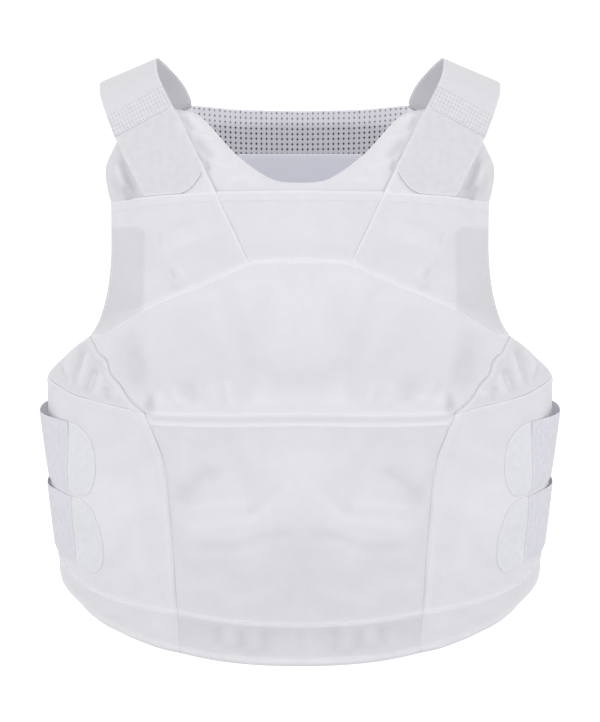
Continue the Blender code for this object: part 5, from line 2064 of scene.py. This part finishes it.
@dataclass(frozen=True)
class Softbox:
    """A large soft light that faces the vest."""

    name: str
    power: float
    place: tuple[float, float, float]
    size: tuple[float, float] = (2.0, 1.5)


@dataclass
class Studio:
    """A seamless pale floor and backdrop, soft light and the camera."""

    floor_level: float = -0.75
    floor_half: float = 12.0
    wall_height: float = 6.0
    curve: float = 3.0
    curve_steps: int = 16
    paper_shade: float = 0.25
    paper_roughness: float = 0.9
    paper_light: float = 0.45
    paper_glow: float = 0.5
    glow_start: float = -0.3
    glow_full: float = 1.05
    far_start: float = 2.5
    far_full: float = 6.0
    aim: tuple[float, float, float] = (0.0, 0.0, -0.222)
    distance: float = 2.3
    elevation: float = math.radians(6.0)
    lens: float = 150.9
    sensor_width: float = 36.0
    world_light: float = 1.0
    softboxes: tuple[Softbox, ...] = (
        Softbox("key_softbox", 8.0, (0.0, -3.4, 0.1)),
        Softbox("left_softbox", 7.5, (2.1, -1.6, -0.05)),
        Softbox("right_softbox", 7.5, (-2.1, -1.6, -0.05)),
    )

    def build(self) -> None:
        """Builds the floor and backdrop, the lights and the camera."""
        self.build_backdrop()
        self.build_light()
        self.build_camera()
        view = bpy.context.scene.view_settings
        view.view_transform = "Standard"
        view.look = "None"

    def build_backdrop(self) -> None:
        """A floor whose far edge is drawn up to a wall, with the fold between them bevelled round."""
        bpy.ops.object.select_all(action="DESELECT")
        bpy.ops.mesh.primitive_plane_add(size=2 * self.floor_half, location=(0.0, 0.0, self.floor_level))
        floor = bpy.context.object
        floor.name = "studio_backdrop"
        bpy.ops.object.transform_apply(location=True, rotation=True, scale=True)
        self.pick_edge(floor, self.floor_level)
        bpy.ops.mesh.extrude_region_move(TRANSFORM_OT_translate={"value": (0.0, 0.0, self.wall_height)})
        self.pick_edge(floor, self.floor_level)
        bpy.ops.mesh.bevel(offset=self.curve, offset_type="OFFSET", segments=self.curve_steps, affect="EDGES")
        bpy.ops.object.mode_set(mode="OBJECT")
        bpy.ops.object.shade_smooth()
        LOG.info("studio_backdrop: %d faces", len(floor.data.polygons))
        desk = Desk("studio_paper")
        place = desk.node("ShaderNodeTexCoord").outputs["Object"]
        depth = desk.node("ShaderNodeSeparateXYZ", Vector=place).outputs["Y"]
        shader = desk.shader
        shader.inputs["Base Color"].default_value = (*[self.paper_shade] * 3, 1.0)
        shader.inputs["Roughness"].default_value = self.paper_roughness
        shader.inputs["Emission Color"].default_value = WHITE_LIGHT
        # The paper glows: its emission paints light on it, weaker in front of and near the vest and full
        # behind it and far off, and it also lights the vest.
        far = desk.node("ShaderNodeVectorMath", {"operation": "LENGTH"}, Vector=place).outputs["Value"]
        light = (self.paper_light, self.paper_light + self.paper_glow)
        glow = desk.sum_up("MAXIMUM", desk.spread(depth, self.glow_start, self.glow_full, *light),
                           desk.spread(far, self.far_start, self.far_full, *light))
        desk.feed(shader.inputs["Emission Strength"], glow)
        floor.data.materials.append(desk.material)

    def pick_edge(self, floor: bpy.types.Object, level: float) -> None:
        """Selects the far points of the floor at a level, in edit mode."""
        bpy.ops.object.mode_set(mode="OBJECT")
        for vert in floor.data.vertices:
            vert.select = vert.co.y > self.floor_half - MM and abs(vert.co.z - level) < MM
        for item in (*floor.data.edges, *floor.data.polygons):
            item.select = all(floor.data.vertices[index].select for index in item.vertices)
        bpy.ops.object.mode_set(mode="EDIT")

    def build_light(self) -> None:
        """Even light all round and large soft lights before the front and its two sides."""
        world = bpy.data.worlds.new("studio_light")
        bpy.context.scene.world = world
        world.use_nodes = True
        background = world.node_tree.nodes["Background"]
        background.inputs["Color"].default_value = WHITE_LIGHT
        background.inputs["Strength"].default_value = self.world_light
        for box in self.softboxes:
            lamp = bpy.data.lights.new(box.name, "AREA")
            lamp.shape = "RECTANGLE"
            lamp.size, lamp.size_y = box.size
            lamp.energy = box.power
            holder = bpy.data.objects.new(box.name, lamp)
            holder.location = box.place
            holder.rotation_euler = (Vector(self.aim) - holder.location).to_track_quat("-Z", "Y").to_euler()
            bpy.context.scene.collection.objects.link(holder)

    def build_camera(self) -> None:
        """The camera at the photograph's angle."""
        camera = bpy.data.cameras.new("camera")
        camera.lens = self.lens
        camera.sensor_width = self.sensor_width
        camera.sensor_fit = "AUTO"
        holder = bpy.data.objects.new("camera", camera)
        back = Vector((0.0, -math.cos(self.elevation), math.sin(self.elevation)))
        holder.location = Vector(self.aim) + back * self.distance
        holder.rotation_euler = (-back).to_track_quat("-Z", "Y").to_euler()
        bpy.context.scene.collection.objects.link(holder)
        bpy.context.scene.camera = holder


def main() -> None:
    """Builds every piece of the vest and the studio round it."""
    logging.basicConfig(level=logging.INFO, format="%(name)s: %(message)s")
    for part in (FrontPanel(), Yoke(), ChestPocket(), Waist(), SideWings(), HemBands(), Gussets(), Back(),
                 ShoulderStraps(), SideStraps(), Studio()):
        part.build()


if __name__ == "__main__":
    main()
